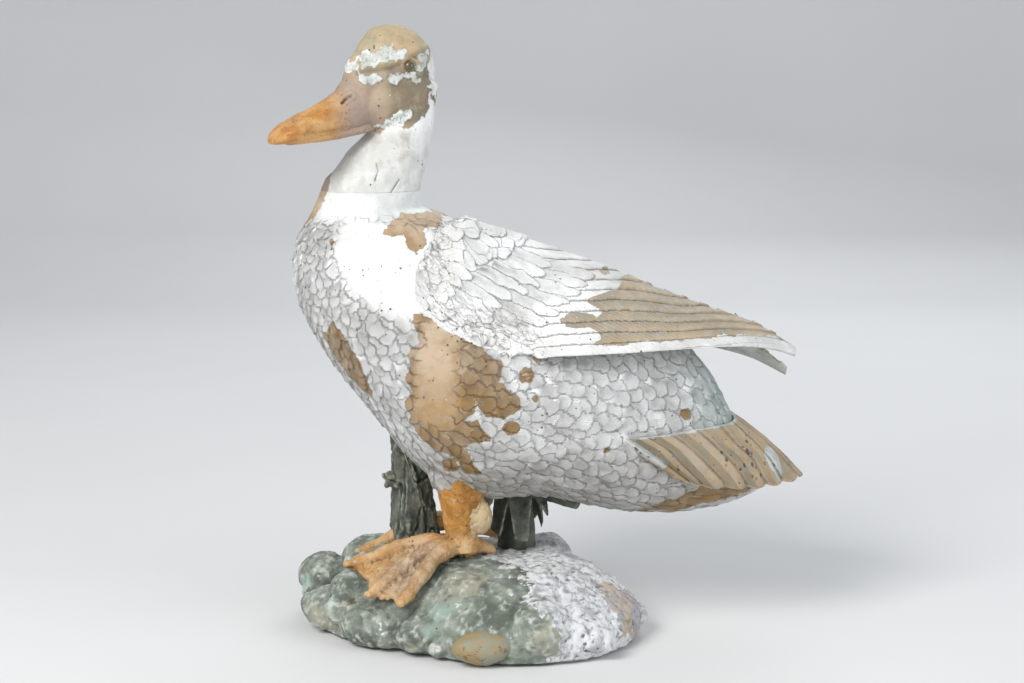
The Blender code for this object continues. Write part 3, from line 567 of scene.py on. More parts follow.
# Paler on raised edges: rubbed paint and a painted highlight.
worn = times(tree, slope(tree, field(tree, "hollow"), 0.05, -0.55),
             slope(tree, noise(tree, where, 130.0), 0.38, 0.62))
colour = mixed(tree, times(tree, worn, 0.75), colour, (0.62, 0.65, 0.60, 1))
chalky = use(tree, "ragged_edge", Place=where,
             Field=maths(tree, "SUBTRACT", field(tree, "crust"), 0.42), Raggedness=0.9)
speckle = slope(tree, noise(tree, where, 170.0, 5.0, 0.7), 0.36, 0.54)
chalk = mixed(tree, speckle, (0.36, 0.36, 0.36, 1), (0.74, 0.75, 0.76, 1))
chalk = mottled(tree, where, (60.0, 4.0), (0.52, 0.68), chalk, (0.46, 0.47, 0.49, 1))
colour = mixed(tree, chalky.outputs["Mask"], colour, chalk)
rusty = use(tree, "ragged_edge", Place=where, Field=maths(tree, "SUBTRACT", field(tree, "rust"), 0.45),
            Raggedness=0.8)
rust_tone = mottled(tree, where, (90.0,), (0.42, 0.6), (0.33, 0.30, 0.34, 1), (0.42, 0.31, 0.20, 1))
colour = mixed(tree, times(tree, rusty.outputs["Mask"], 0.7), colour, rust_tone)
# Near black in the crevices: dirt and painted shade.
colour = grimed(tree, where, colour, 0.85, (0.040, 0.045, 0.038, 1))
holes = use(tree, "pin_holes", Place=where, Spacing=240.0, Amount=0.45)
colour = mixed(tree, times(tree, holes.outputs["Mask"], 0.8), colour, (0.05, 0.05, 0.05, 1))
gritty = plus(tree, noise(tree, where, 420.0, 4.0, 0.7), times(tree, holes.outputs["Depth"], 0.8))
surface(tree, shader, colour, between(tree, chalky.outputs["Mask"], 0.80, 0.92), gritty, 0.0009)

fit(base, stone_paint, "mossy_stone_paint", "base_rock")

# ------------------------------------------------------------------------------------------------
# pebble_front: a smooth tan pebble bedded in the front edge of the base, worn and cracked.
# ------------------------------------------------------------------------------------------------

bm = bmesh.new()
x, y = on_base(275, 0.965)
ball(bm, (x, y + 0.001, BASE_FLOOR + 0.0090), (0.0190, 0.0125, 0.0098), 0.1, 120, 70)
pebble = piece("pebble", bm)
points, normals = points_of(pebble), normals_of(pebble)
near, after = cells(points, 0.011, 31)
crack = ease(0.05, 0.0, after - near) * ease(0.0, 0.4, lumps(points, 0.012, 34))
worn = 0.0019 * rubble(points, 0.016, 32) + 0.0003 * rubble(points, 0.003, 33) - 0.0006 * crack
move_points(pebble, points + normals * worn[:, None])
# The cracks are added to the hollows, so that they darken as painted shade with the dirt.
record(pebble, hollow=np.clip(hollows(pebble, 3) + 0.7 * crack, -1, 1))

pebble_paint, tree, shader = blank("pebble_paint")
where = add(tree, "ShaderNodeTexCoord").outputs["Object"]
colour = mottled(tree, where, (70.0, 5.0), (0.38, 0.62), (0.33, 0.245, 0.12, 1), (0.27, 0.28, 0.215, 1))
colour = mottled(tree, where, (110.0, 4.0), (0.60, 0.70), colour, (0.20, 0.115, 0.07, 1))
# Darker in the hollows and cracks: dirt and painted shade.
colour = grimed(tree, where, colour, 0.9, (0.07, 0.06, 0.05, 1))
surface(tree, shader, colour, 0.6, noise(tree, where, 500.0, 4.0), 0.0004)
fit(pebble, pebble_paint, "pebble_paint", "pebble_front")

# ------------------------------------------------------------------------------------------------
# stump: the snapped-off tree stump that props the breast, cast in one piece with a thin vine up its
# front and a hooked twig. It is painted a dark green-grey, rubbed pale on its edges and lighter there
# as a painted highlight.
# ------------------------------------------------------------------------------------------------

LEG_HEIGHT = 0.038
BELLY_Z = FOOT_Z + LEG_HEIGHT - 0.015
STUMP_X, STUMP_Y, STUMP_RADIUS = -0.077, 0.018, 0.0135

low = Vector((STUMP_X, STUMP_Y, FOOT_Z - 0.008))
high = Vector((STUMP_X - 0.004, STUMP_Y, BELLY_Z + 0.060))
middle = (low + high) / 2
bm = bmesh.new()
limb(bm, [low, middle, high], [STUMP_RADIUS * 1.2, STUMP_RADIUS * 0.95, STUMP_RADIUS * 0.85])
twig = [(0.0, -0.004, 0.0), (-0.010, -0.007, 0.001), (-0.015, -0.008, 0.006), (-0.0185, -0.008, 0.0055)]
limb(bm, [middle + Vector(step) for step in twig], [0.0055, 0.0042, 0.0030, 0.0018], 10)
limb(bm, [middle + Vector((-0.014, -0.007, 0.004)), middle + Vector((-0.017, -0.007, -0.002))],
     [0.0028, 0.0012], 8)
vine = []
for step in range(14):
    climb = step / 13
    vine.append(low.lerp(high, climb) + Vector((0.006 * math.sin(5 * climb), -STUMP_RADIUS * 0.92, 0)))
limb(bm, vine, [0.0022] * 14, 8)
ball(bm, low + Vector((0.006, -0.008, 0.004)), (0.012, 0.010, 0.009), 0.4)
ball(bm, low + Vector((-0.008, -0.009, 0.003)), (0.009, 0.008, 0.007), 0.0)
stump = melt(piece("stump_wood", bm), 0.0009, 1)
points, normals = points_of(stump), normals_of(stump)
tall = points * np.array([1.0, 1.0, 0.28])
bark = (0.0030 * rubble(tall, 0.007, 41, 4, 0.6)
        - 0.0018 * ease(0.16, 0.0, np.abs(lumps(tall, 0.0045, 42))))
move_points(stump, points + normals * (bark + 0.0006 * rubble(points, 0.003, 43, 2))[:, None])
record(stump, hollow=hollows(stump, 4, 0.0005))

wood_paint, tree, shader = blank("dark_green_paint")
where = add(tree, "ShaderNodeTexCoord").outputs["Object"]
colour = mottled(tree, where, (80.0, 5.0), (0.36, 0.62), (0.048, 0.056, 0.044, 1),
                 (0.135, 0.140, 0.105, 1))
colour = mottled(tree, where, (40.0, 3.0), (0.54, 0.68), colour, (0.13, 0.155, 0.13, 1))
# Paler on raised edges: rubbed paint and a painted highlight.
raised = times(tree, slope(tree, field(tree, "hollow"), -0.15, -0.85),
               slope(tree, noise(tree, where, 160.0), 0.36, 0.60))
colour = mixed(tree, times(tree, raised, 0.85), colour, (0.33, 0.35, 0.285, 1))
# Near black in the hollows: dirt and painted shade.
colour = grimed(tree, where, colour, 0.9, (0.012, 0.013, 0.010, 1))
surface(tree, shader, colour, 0.62, noise(tree, where, 380.0, 5.0, 0.7), 0.0007)
fit(stump, wood_paint, "dark_green_paint", "stump")

# ------------------------------------------------------------------------------------------------
# leaf_clump: a short branch under the belly with broad drooping leaves round it and an arm towards the
# tail, one casting in the same dark green paint as the stump.
# ------------------------------------------------------------------------------------------------

BRANCH_X, BRANCH_RADIUS, BRANCH_ARM = -0.013, 0.0115, 0.038
LEAF_LENGTH, LEAF_WIDTH = 0.040, 0.021

low = Vector((BRANCH_X, 0.006, FOOT_Z - 0.008))
high = Vector((BRANCH_X, 0.004, BELLY_Z + 0.030))
fork = high - Vector((0, 0, 0.014))
arm_end = Vector((BRANCH_X + BRANCH_ARM, -0.020, BELLY_Z + 0.008))
bm = bmesh.new()
limb(bm, [low, (low + high) / 2, high], [BRANCH_RADIUS * 1.15, BRANCH_RADIUS * 0.9, BRANCH_RADIUS])
limb(bm, [fork, (fork + arm_end) / 2 + Vector((0, 0, 0.002)), arm_end], [0.009, 0.0062, 0.0030], 12)


def leaf(bm, root, turn, lean, length, width, blunt):
    """A leaf that arches out and hangs down, folded along its midrib and waved along its edges."""
    out = Vector((math.cos(turn), math.sin(turn), 0))
    across = Vector((-out.y, out.x, 0))
    steps, wide = 18, 12
    upper, under = [], []
    for i in range(steps + 1):
        share = i / steps
        reach = length * share
        pointed = max(0.10, math.sin(math.pi * min(0.97, 0.12 + 0.85 * share)) ** 0.7)
        half = width / 2 * (1.15 - 0.75 * share if blunt else pointed)
        centre = root + out * (reach * math.cos(lean)
                               + 0.004) - Vector((0, 0, reach * math.sin(lean) * share))
        for k in range(wide + 1):
            side = 2 * k / wide - 1
            fold = Vector((0, 0, half * 0.42 * abs(side))) + out * (half * 0.25 * abs(side))
            wave = Vector((0, 0, 0.0016 * abs(side) * math.sin(9 * share + 2 * side)))
            spot = centre + across * (half * side) + fold + wave
            upper.append(bm.verts.new(spot))
            under.append(bm.verts.new(spot - Vector((0, 0, 0.0022)) - out * 0.0012))
    row = wide + 1
    for i in range(steps):
        for k in range(wide):
            a, b = i * row + k, (i + 1) * row + k
            bm.faces.new((upper[a], upper[a + 1], upper[b + 1], upper[b]))
            bm.faces.new((under[a], under[b], under[b + 1], under[a + 1]))
    rim = ([i * row for i in range(steps + 1)] + [steps * row + k for k in range(1, row)]
           + [i * row + wide for i in range(steps - 1, -1, -1)] + [k for k in range(wide - 1, 0, -1)])
    for a, b in zip(rim, rim[1:] + rim[:1]):
        bm.faces.new((upper[a], under[a], under[b], upper[b]))


for turn, lean, rise, size, blunt in ((-82, 66, 0.006, 1.02, True), (-28, 44, 0.001, 0.62, False),
                                      (-128, 60, 0.002, 0.85, True), (70, 50, 0.002, 1.0, False),
                                      (15, 62, -0.002, 0.70, False)):
    leaf(bm, fork + Vector((0, 0, rise)), math.radians(turn), math.radians(lean), LEAF_LENGTH * size,
         LEAF_WIDTH * size, blunt)
clump = melt(piece("branch_and_leaves", bm), 0.0008, 1)
points, normals = points_of(clump), normals_of(clump)
move_points(clump, points + normals * (0.0007 * rubble(points, 0.006, 51)
                                       + 0.0003 * rubble(points, 0.0022, 52, 2))[:, None])
record(clump, hollow=hollows(clump, 4, 0.0005))
fit(clump, wood_paint, "dark_green_paint", "leaf_clump")

# ------------------------------------------------------------------------------------------------
# legs: short shanks and webbed feet, cast round their steel rods. The toes lie on the rock, with thick
# knuckled ridges and a scalloped web between. They are painted orange over tan and rubbed.
# ------------------------------------------------------------------------------------------------

LEG_X, LEG_SPREAD, LEG_RADIUS = -0.047, 0.060, 0.0115
TOE_LENGTH, TOE_RADIUS = 0.060, 0.0050
FOOT_TURNS = (math.radians(30), math.radians(14))
TOES = [(math.radians(-34), 1.16, 0.010), (0.0, 1.05, 0.019), (math.radians(24), 0.98, 0.020)]


def leg(name, side, turn):
    ankle = Vector((LEG_X, side * LEG_SPREAD / 2, FOOT_Z + TOE_RADIUS))
    bm = bmesh.new()
    tips = []
    for spread, share, drop in TOES:
        way = Vector((-math.cos(turn + spread), side * math.sin(turn + spread), 0))
        long = TOE_LENGTH * share
        path, radii = [], []
        for step in range(13):
            t = step / 12
            sag = drop * (0.35 * t + 0.65 * t * t) - 0.0045 * math.sin(math.pi * min(1.0, t * 1.25))
            path.append(ankle + way * long * t + Vector((0, 0, 0.003 * (1 - t) - sag)))
            knuckle = 1 + 0.10 * math.cos(2 * math.pi * (t * 3 + 0.1))
            radii.append(TOE_RADIUS * (1.22 - 0.42 * t) * knuckle * (0.55 if step == 12 else 1))
        limb(bm, path, radii, 14)
        ball(bm, path[-1] + way * 0.0006, (0.0030, 0.0030, 0.0026))
        tips.append(path)
    for first, second in zip(tips, tips[1:]):
        rows = []
        for step in range(13):
            t = step / 12
            row = []
            for k in range(9):
                s = k / 8
                shrink = 1 - 0.08 * math.sin(math.pi * s) - 0.02 * math.sin(5 * math.pi * s)
                u = t * 12 * shrink
                i = min(11, int(u))
                a = first[i].lerp(first[i + 1], u - i)
                b = second[i].lerp(second[i + 1], u - i)
                row.append(a.lerp(b, s) - Vector((0, 0, 0.0020 + 0.0016 * math.sin(math.pi * s) * t)))
            rows.append(row)
        top = [[bm.verts.new(p + Vector((0, 0, 0.0018))) for p in row] for row in rows]
        bottom = [[bm.verts.new(p - Vector((0, 0, 0.0016))) for p in row] for row in rows]
        for i in range(12):
            for k in range(8):
                bm.faces.new((top[i][k], top[i][k + 1], top[i + 1][k + 1], top[i + 1][k]))
                bm.faces.new((bottom[i][k], bottom[i + 1][k], bottom[i + 1][k + 1], bottom[i][k + 1]))
        rim = ([(i, 0) for i in range(13)] + [(12, k) for k in range(1, 9)]
               + [(i, 8) for i in range(11, -1, -1)])
        rim += [(0, k) for k in range(7, 0, -1)]
        for (i, k), (m, n) in zip(rim, rim[1:] + rim[:1]):
            bm.faces.new((top[i][k], bottom[i][k], bottom[m][n], top[m][n]))
    back = Vector((math.cos(turn), -side * math.sin(turn), 0))
    heel = [ankle, ankle + back * TOE_LENGTH * 0.22 + Vector((0, 0, 0.001)),
            ankle + back * TOE_LENGTH * 0.38 - Vector((0, 0, 0.003))]
    limb(bm, heel, [TOE_RADIUS * 1.25, TOE_RADIUS * 0.95, TOE_RADIUS * 0.55], 12)
    top = Vector((LEG_X, side * LEG_SPREAD / 2, BELLY_Z + 0.034))
    knee = (ankle + top) / 2
    shank = [ankle, ankle + Vector((0, 0, 0.010)), knee + Vector((0, 0, 0.004)), top]
    limb(bm, shank, [LEG_RADIUS * 1.05, LEG_RADIUS * 0.84, LEG_RADIUS * 1.15, LEG_RADIUS * 1.6], 20)
    knob = ankle + Vector((0.0110, -0.0020, 0.0215))
    ball(bm, knob, (0.0082, 0.0076, 0.0112))
    ball(bm, ankle + Vector((0.0075, 0, 0.004)), (0.0052, 0.0050, 0.0046))
    foot = melt(piece(name, bm), 0.0009, 2)
    points, normals = points_of(foot), normals_of(foot)
    rough = 0.0008 * rubble(points, 0.007, 61) + 0.0003 * rubble(points, 0.0025, 62, 2)
    near, after = cells(points, 0.0052, 63)
    scutes = -0.0004 * ease(0.14, 0.0, after - near)
    move_points(foot, points + normals * (rough + scutes)[:, None])
    points = points_of(foot)
    shin = ease(0.058, 0.070, points[:, 2])
    centre = np.array(ankle) + np.array([-0.030, side * 0.022, 0.0])
    flakes = (ease(0.0150, 0.0090, np.linalg.norm(points - np.array(knob), axis=1))
              * ease(0.003, 0.007, points[:, 0] - ankle.x))
    record(foot, hollow=hollows(foot, 4, 0.0005), shin=shin, cream=flakes,
           web=ease(0.030, 0.006, np.linalg.norm((points - centre)[:, :2], axis=1)) * (1 - shin))
    return foot


leg_paint, tree, shader = blank("orange_paint_legs")
where = add(tree, "ShaderNodeTexCoord").outputs["Object"]
foot_tone = mottled(tree, where, (60.0, 5.0), (0.38, 0.62), (0.46, 0.245, 0.085, 1),
                    (0.60, 0.38, 0.18, 1))
web_tone = mottled(tree, where, (120.0, 5.0), (0.40, 0.60), (0.34, 0.22, 0.13, 1),
                   (0.50, 0.39, 0.27, 1))
colour = mixed(tree, field(tree, "web"), foot_tone, web_tone)
shin_tone = mottled(tree, where, (90.0, 5.0), (0.36, 0.64), (0.33, 0.135, 0.018, 1),
                    (0.52, 0.25, 0.050, 1))
colour = mixed(tree, field(tree, "shin"), colour, shin_tone)
flaked = use(tree, "ragged_edge", Place=where,
             Field=maths(tree, "SUBTRACT", times(tree, field(tree, "cream"), 0.70), 0.42),
             Raggedness=1.0)
colour = mixed(tree, flaked.outputs["Mask"], colour, (0.56, 0.43, 0.25, 1))
raised = times(tree, slope(tree, field(tree, "hollow"), -0.10, -0.8),
               slope(tree, noise(tree, where, 200.0), 0.34, 0.60))
colour = mixed(tree, times(tree, raised, 0.45), colour, (0.72, 0.52, 0.30, 1))
# Darker in the hollows: dirt and painted shade.
colour = grimed(tree, where, colour, 0.95, (0.13, 0.075, 0.035, 1))
holes = use(tree, "pin_holes", Place=where, Spacing=420.0, Amount=0.8)
colour = mixed(tree, times(tree, holes.outputs["Mask"], 0.8), colour, (0.09, 0.05, 0.03, 1))
surface(tree, shader, colour, 0.55,
        plus(tree, noise(tree, where, 420.0, 4.0, 0.65), holes.outputs["Depth"]), 0.0006)

fit(leg("foot_left", -1, FOOT_TURNS[0]), leg_paint, "orange_paint", "leg_left")
fit(leg("foot_right", 1, FOOT_TURNS[1]), leg_paint, "orange_paint", "leg_right")

# ------------------------------------------------------------------------------------------------
# body_casting: the hollow resin body from the neck joint down, modelled with overlapping feathers and
# washed in chalky white paint. The paint has flaked to the tan resin in ragged patches.
# ------------------------------------------------------------------------------------------------

BODY_LENGTH, BODY_HEIGHT, BODY_WIDTH = 0.290, 0.197, 0.152
BREAST_X = -0.005 - BODY_LENGTH / 2
NECK_RADIUS = 0.020

# Along the body: share of its length, top and bottom as shares of its height, half width.
BODY_ROWS = [
    (0.000, 0.800, 0.770, 0.06), (0.013, 0.890, 0.670, 0.34), (0.072, 0.984, 0.506, 0.66),
    (0.168, 1.000, 0.324, 0.88), (0.275, 0.969, 0.140, 0.98), (0.392, 0.893, 0.056, 1.00),
    (0.520, 0.818, 0.062, 0.98), (0.648, 0.745, 0.025, 0.90), (0.776, 0.620, 0.003, 0.73),
    (0.883, 0.450, 0.020, 0.52), (0.947, 0.270, 0.042, 0.32), (1.000, 0.110, 0.080, 0.06),
]


def smooth_rows(rows, steps):
    """The rows with more between them, along a smooth curve through every column."""
    rows = [np.array(row, float) for row in rows]
    made = []
    for i in range(len(rows) - 1):
        a, b, c, d = rows[max(i - 1, 0)], rows[i], rows[i + 1], rows[min(i + 2, len(rows) - 1)]
        for t in np.arange(steps) / steps:
            made.append(0.5 * (2 * b + (c - a) * t + (2 * a - 5 * b + 4 * c - d) * t**2
                               + (3 * b - a - 3 * c + d) * t**3))
    return made + [rows[-1]]


def body_point(along, up, across=0.0):
    return Vector((BREAST_X + along * BODY_LENGTH, across * BODY_WIDTH / 2, BELLY_Z + up * BODY_HEIGHT))


def body_clay(bm):
    rings = []
    for along, top, bottom, width in smooth_rows(BODY_ROWS, 6):
        ring = []
        for k in range(64):
            a = 2 * math.pi * k / 64
            y = width * math.sin(a) * (1 - 0.12 * math.cos(a))
            ring.append(body_point(along, (top + bottom) / 2 + (top - bottom) / 2 * math.cos(a), y))
        rings.append(ring)
    skin_over(bm, rings)


neck_joint = body_point(0.165, 1.0) + Vector((0, 0, 0.004))
HEAD_TURN = math.radians(33)
head_frame = (Matrix.Translation(body_point(0.21, 1.0) + Vector((0, 0, 0.071)))
              @ Matrix.Rotation(math.pi + HEAD_TURN, 4, "Z"))


def neck_clay(bm):
    """The neck and where it flares into the shoulders, shared by both castings so that they meet flush."""
    flare = [body_point(0.13, 0.70),
             (body_point(0.13, 0.70) + neck_joint) / 2 + Vector((0.001, 0, 0.006)), neck_joint,
             neck_joint + Vector((0.006, 0, 0.014))]
    limb(bm, flare, [NECK_RADIUS * share for share in (1.55, 1.80, 1.44, 1.08)], 40)
    rise = 0.056
    path = [neck_joint + Vector(step)
            for step in ((0.000, 0, -0.12 * rise), (0.0075, 0, 0.22 * rise), (0.0165, 0, 0.50 * rise),
                         (0.0205, 0, 0.80 * rise))]
    path.append(head_frame @ Vector((-0.010, 0, -0.002)))
    limb(bm, path, [NECK_RADIUS * share for share in (1.52, 1.25, 0.99, 0.91, 0.98)], 40)


def trim(obj, z, keep_below):
    """Cuts the casting off flat at the joint and closes the cut."""
    bm = bmesh.new()
    bm.from_mesh(obj.data)
    cut = bmesh.ops.bisect_plane(bm, geom=bm.verts[:] + bm.edges[:] + bm.faces[:], plane_co=(0, 0, z),
                                 plane_no=(0, 0, 1), clear_outer=keep_below, clear_inner=not keep_below)
    rim = [part for part in cut["geom_cut"] if isinstance(part, bmesh.types.BMEdge)]
    bmesh.ops.holes_fill(bm, edges=rim)
    bm.to_mesh(obj.data)
    bm.free()


def neck_skin(points):
    """The modelled roughness over the neck, the same on both sides of the joint."""
    return 0.0005 * rubble(points, 0.012, 71) + 0.0002 * rubble(points, 0.0035, 72, 2)


def stroke(points, line):
    """How far each point lies from a line drawn on the figure's side as (x, z), in mm."""
    px, pz = points[:, 0] * 1000, points[:, 2] * 1000
    far = np.full(len(points), 1e9)
    for (ax, az), (bx, bz) in zip(line, line[1:]):
        ex, ez = bx - ax, bz - az
        t = np.clip(((px - ax) * ex + (pz - az) * ez) / (ex * ex + ez * ez), 0, 1)
        far = np.minimum(far, np.hypot(px - ax - t * ex, pz - az - t * ez))
    return far


def drawn(points, outline):
    """How far each point lies inside an outline drawn as a stroke is, below 0 outside."""
    px, pz = points[:, 0] * 1000, points[:, 2] * 1000
    closed = outline + outline[:1]
    inside = np.zeros(len(points), bool)
    for (ax, az), (bx, bz) in zip(closed, closed[1:]):
        if az != bz:
            inside ^= ((az > pz) != (bz > pz)) & (px < ax + (pz - az) / (bz - az) * (bx - ax))
    far = stroke(points, closed)
    return np.where(inside, far, -far)


def scatter(points, spacing, seed):
    """Picks points over the surface, none nearer to another than the spacing where it lies."""
    chosen = np.zeros((0, 3))
    kept = []
    for i in np.random.default_rng(seed).permutation(len(points)):
        if len(chosen) == 0 or ((chosen - points[i]) ** 2).sum(axis=1).min() > spacing[i] ** 2:
            chosen = np.vstack([chosen, points[i]])
            kept.append(i)
    return np.array(kept)


def feathers(points, roots, flow, side, reach, half, lift):
    """Overlapping feathers. A point takes the feather that stands highest over it: each rises towards its
    rounded tip, so a tip lies on the roots of those behind. Gives the height, a phase that runs from barb to
    barb across the vane, how near the tip the point lies, and which feather it is on."""
    height, barb = np.zeros(len(points)), np.zeros(len(points))
    tip, owner = np.zeros(len(points)), np.zeros(len(points), int)
    square = (roots**2).sum(axis=1)
    many = min(12, len(roots))
    for start in range(0, len(points), 4000):
        part = slice(start, min(start + 4000, len(points)))
        p = points[part]
        near = np.argpartition(square[None] - 2 * p @ roots.T, many - 1, axis=1)[:, :many]
        gap = p[:, None] - roots[near]
        t = np.einsum("ijk,ijk->ij", gap, flow[near]) / reach[near]
        s = np.einsum("ijk,ijk->ij", gap, side[near]) / half[near]
        e = 1 - np.sqrt(np.maximum(t, 0) ** 2 + s**2)
        climb = (t + 1.5) / 2.5
        vane = (0.18 + 0.82 * climb) * ease(0.0, 0.15, e) - 0.10 * s * s
        h = np.where((e > 0) & (climb > 0), vane, 0.0) * lift[near]
        best = h.argmax(axis=1)
        row = np.arange(len(p))
        height[part] = h[row, best]
        barb[part] = np.arctan2(s[row, best], t[row, best] + 1.6)
        tip[part] = climb[row, best]
        owner[part] = near[row, best]
    return height, barb, tip, owner


THIGH = ([(-74, 203), (-59, 205), (-49, 203), (-38, 206), (-29, 203), (-27, 195), (-21, 194),
          (-23, 188), (-34, 183), (-22, 174), (-24, 164), (-11, 155), (-11, 149), (-21, 143),
          (-31, 144), (-38, 155), (-37, 147), (-48, 139), (-36, 142), (-30, 130), (-44, 125),
          (-34, 106), (-45, 107), (-53, 120), (-61, 121), (-69, 129), (-75, 140), (-79, 152),
          (-75, 157), (-77, 169), (-74, 176), (-78, 180), (-70, 188)])
KNUCKLE = [(-20, 192), (-15, 194), (-8, 188), (-11, 183), (-18, 178), (-22, 186)]
SHOULDER = [(-92, 251), (-86, 255), (-82, 259), (-58, 259), (-58, 253), (-61, 250), (-68, 251),
            (-68, 242), (-73, 237), (-78, 241), (-80, 246), (-85, 247), (-91, 248)]
BREAST = [(-122, 197), (-114, 190), (-110, 180), (-105, 173), (-100, 160), (-99, 151), (-106, 157),
          (-114, 164), (-121, 172), (-126, 182), (-128, 190)]
COLLAR = [(-142, 267), (-137, 276), (-130, 284), (-126, 281), (-128, 272), (-131, 262), (-138, 254),
          (-143, 250), (-146, 258)]
UNDERTAIL = [(60, 76), (92, 91), (109, 97), (130, 97), (136, 88), (99, 80), (87, 76)]
SMOOTH = [(-124, 247), (-116, 262), (-62, 252), (-52, 212), (-76, 195), (-111, 211), (-121, 228)]
SMOOTH_RIGHT = [(-120, 250), (-60, 250), (-70, 215), (-105, 215)]

# Raised rings and dents in the casting, and round spots worn bare: place and radius in mm.
RINGS = [(-69, 230, 2.6), (-66, 237, 2.3), (-60, 242, 1.6)]
DENTS = [(-64, 211, 2.4), (-53, 214, 2.4), (-96, 235, 1.4), (-94, 246, 2.8), (-80, 226, 0.9)]
BARE_SPOTS = [(-1, 178, 3), (3, 178, 2), (-7, 168, 4), (-3, 155, 2), (-17, 137, 4), (-123, 243, 2),
              (-52, 112, 5), (88, 140, 3), (40, 122, 2)]

bm = bmesh.new()
body_clay(bm)
neck_clay(bm)
for side in (-1, 1):
    ball(bm, (LEG_X, side * LEG_SPREAD / 2, BELLY_Z + 0.045), (0.023, 0.019, 0.034))
body = melt(piece("duck_body", bm), 0.00118, 3)
points, normals = points_of(body), normals_of(body)
x, y, z = points.T
left = ease(0.010, -0.010, y)

front = ease(-0.055, -0.125, x)
length = 0.0108 - 0.0022 * front + 0.0022 * ease(0.03, 0.10, x)
ruffled = points + 0.0016 * np.stack([lumps(points, 0.0055, seed) for seed in (811, 812, 813)], axis=1)
roots = scatter(points, length * 0.62, 81)
drift = np.stack([1 - 0.70 * front, 0 * x, -0.30 - 0.75 * front], axis=1) + 0.25 * np.stack(
    [lumps(points, 0.05, 82), lumps(points, 0.05, 83), lumps(points, 0.05, 84)], axis=1)
flow = drift - np.einsum("ij,ij->i", drift, normals)[:, None] * normals
flow /= np.linalg.norm(flow, axis=1)[:, None]
side = np.cross(normals, flow)
size = length[roots] * (1 + 0.18 * lumps(points[roots], 0.004, 85))
crest, barb, tip, owner = feathers(ruffled, points[roots], flow[roots], side[roots], size * 0.66,
                                   size * 0.52, 1 + 0.55 * lumps(points[roots], 0.003, 86))
plain = (ease(-6, 9, drawn(points, SMOOTH)) * left
         + ease(-4, 8, drawn(points, SMOOTH_RIGHT)) * (1 - left))
plain = np.maximum(plain, ease(0.245, 0.262, z))
plain = np.maximum(plain,
                   ease(-2, 8, drawn(points, THIGH)) * ease(-0.038, -0.055, x) * ease(0.128, 0.145, z))
lift = 0.00150 * (1 - plain) * (1 - 0.35 * ease(0.05, 0.12, x)) * (1 + 0.35 * front)
near, after = cells(points, 0.0058, 871)
crust = ((0.45 - near) * ease(-0.1, 0.5, lumps(points, 0.020, 872))
         + 0.55 * rubble(points, 0.0045, 87, 4, 0.6))
high = ((crest - 0.55) * lift + (1 - plain) * 0.0009 * crust
        + plain * 0.00018 * rubble(points, 0.004, 873, 3))
for cx, cz, radius in RINGS:
    ring = np.hypot(x * 1000 - cx, z * 1000 - cz) / radius
    high += left * (0.0006 * np.exp(-((ring - 1) / 0.28) ** 2) - 0.0004 * ease(0.9, 0.3, ring))
for cx, cz, radius in DENTS:
    high -= left * 0.0012 * ease(1.0, 0.3, np.hypot(x * 1000 - cx, z * 1000 - cz) / radius)
trimmed = ease(0.262, 0.268, z)
move_points(body, points + normals * (high * (1 - trimmed) + neck_skin(points))[:, None])
hollow = hollows(body, 3, 0.00050)
spots = np.maximum.reduce([r - np.hypot(x * 1000 - cx, z * 1000 - cz) for cx, cz, r in BARE_SPOTS])
bare_left = np.maximum.reduce([drawn(points, p)
                               for p in (THIGH, KNUCKLE, SHOULDER, BREAST, COLLAR, UNDERTAIL)]
                              + [spots])
turned = points + np.array([0.018, 0, -0.006])
bare_right = np.maximum.reduce([drawn(turned, p) for p in (THIGH, KNUCKLE, BREAST, COLLAR, UNDERTAIL)]
                               + [14 * rubble(points, 0.05, 88, 3) - 7])
record(body, bare=np.clip(left * bare_left + (1 - left) * bare_right, -12, 12) / 4, hollow=hollow,
       barb=barb, vane=(1 - plain) * ease(0.2, 0.5, tip) * (1 - trimmed),
       tone=0.9 * ease(0.180, 0.145, z)
       * (0.6 + 0.4 * np.take(np.random.default_rng(5).random(len(roots)), owner)),
       # mint and grime paint the neck greyer as painted shade under the head, and grime paints the low body
       # and low breast darker as painted shade on the undersides.
       mint=ease(0.070, 0.115, x) * ease(0.10, 0.125, z) + 0.30 * ease(0.245, 0.262, z),
       grime=ease(0.135, 0.095, z) * 0.9 + 0.6 * ease(-0.115, -0.15, x) * ease(0.20, 0.17, z),
       ochre=ease(-0.045, -0.035, x) * ease(0.160, 0.150, z))
skin_tree = BVHTree.FromPolygons(points_of(body).tolist(),
                                 [face.vertices[:] for face in body.data.polygons])
trim(body, neck_joint.z, True)


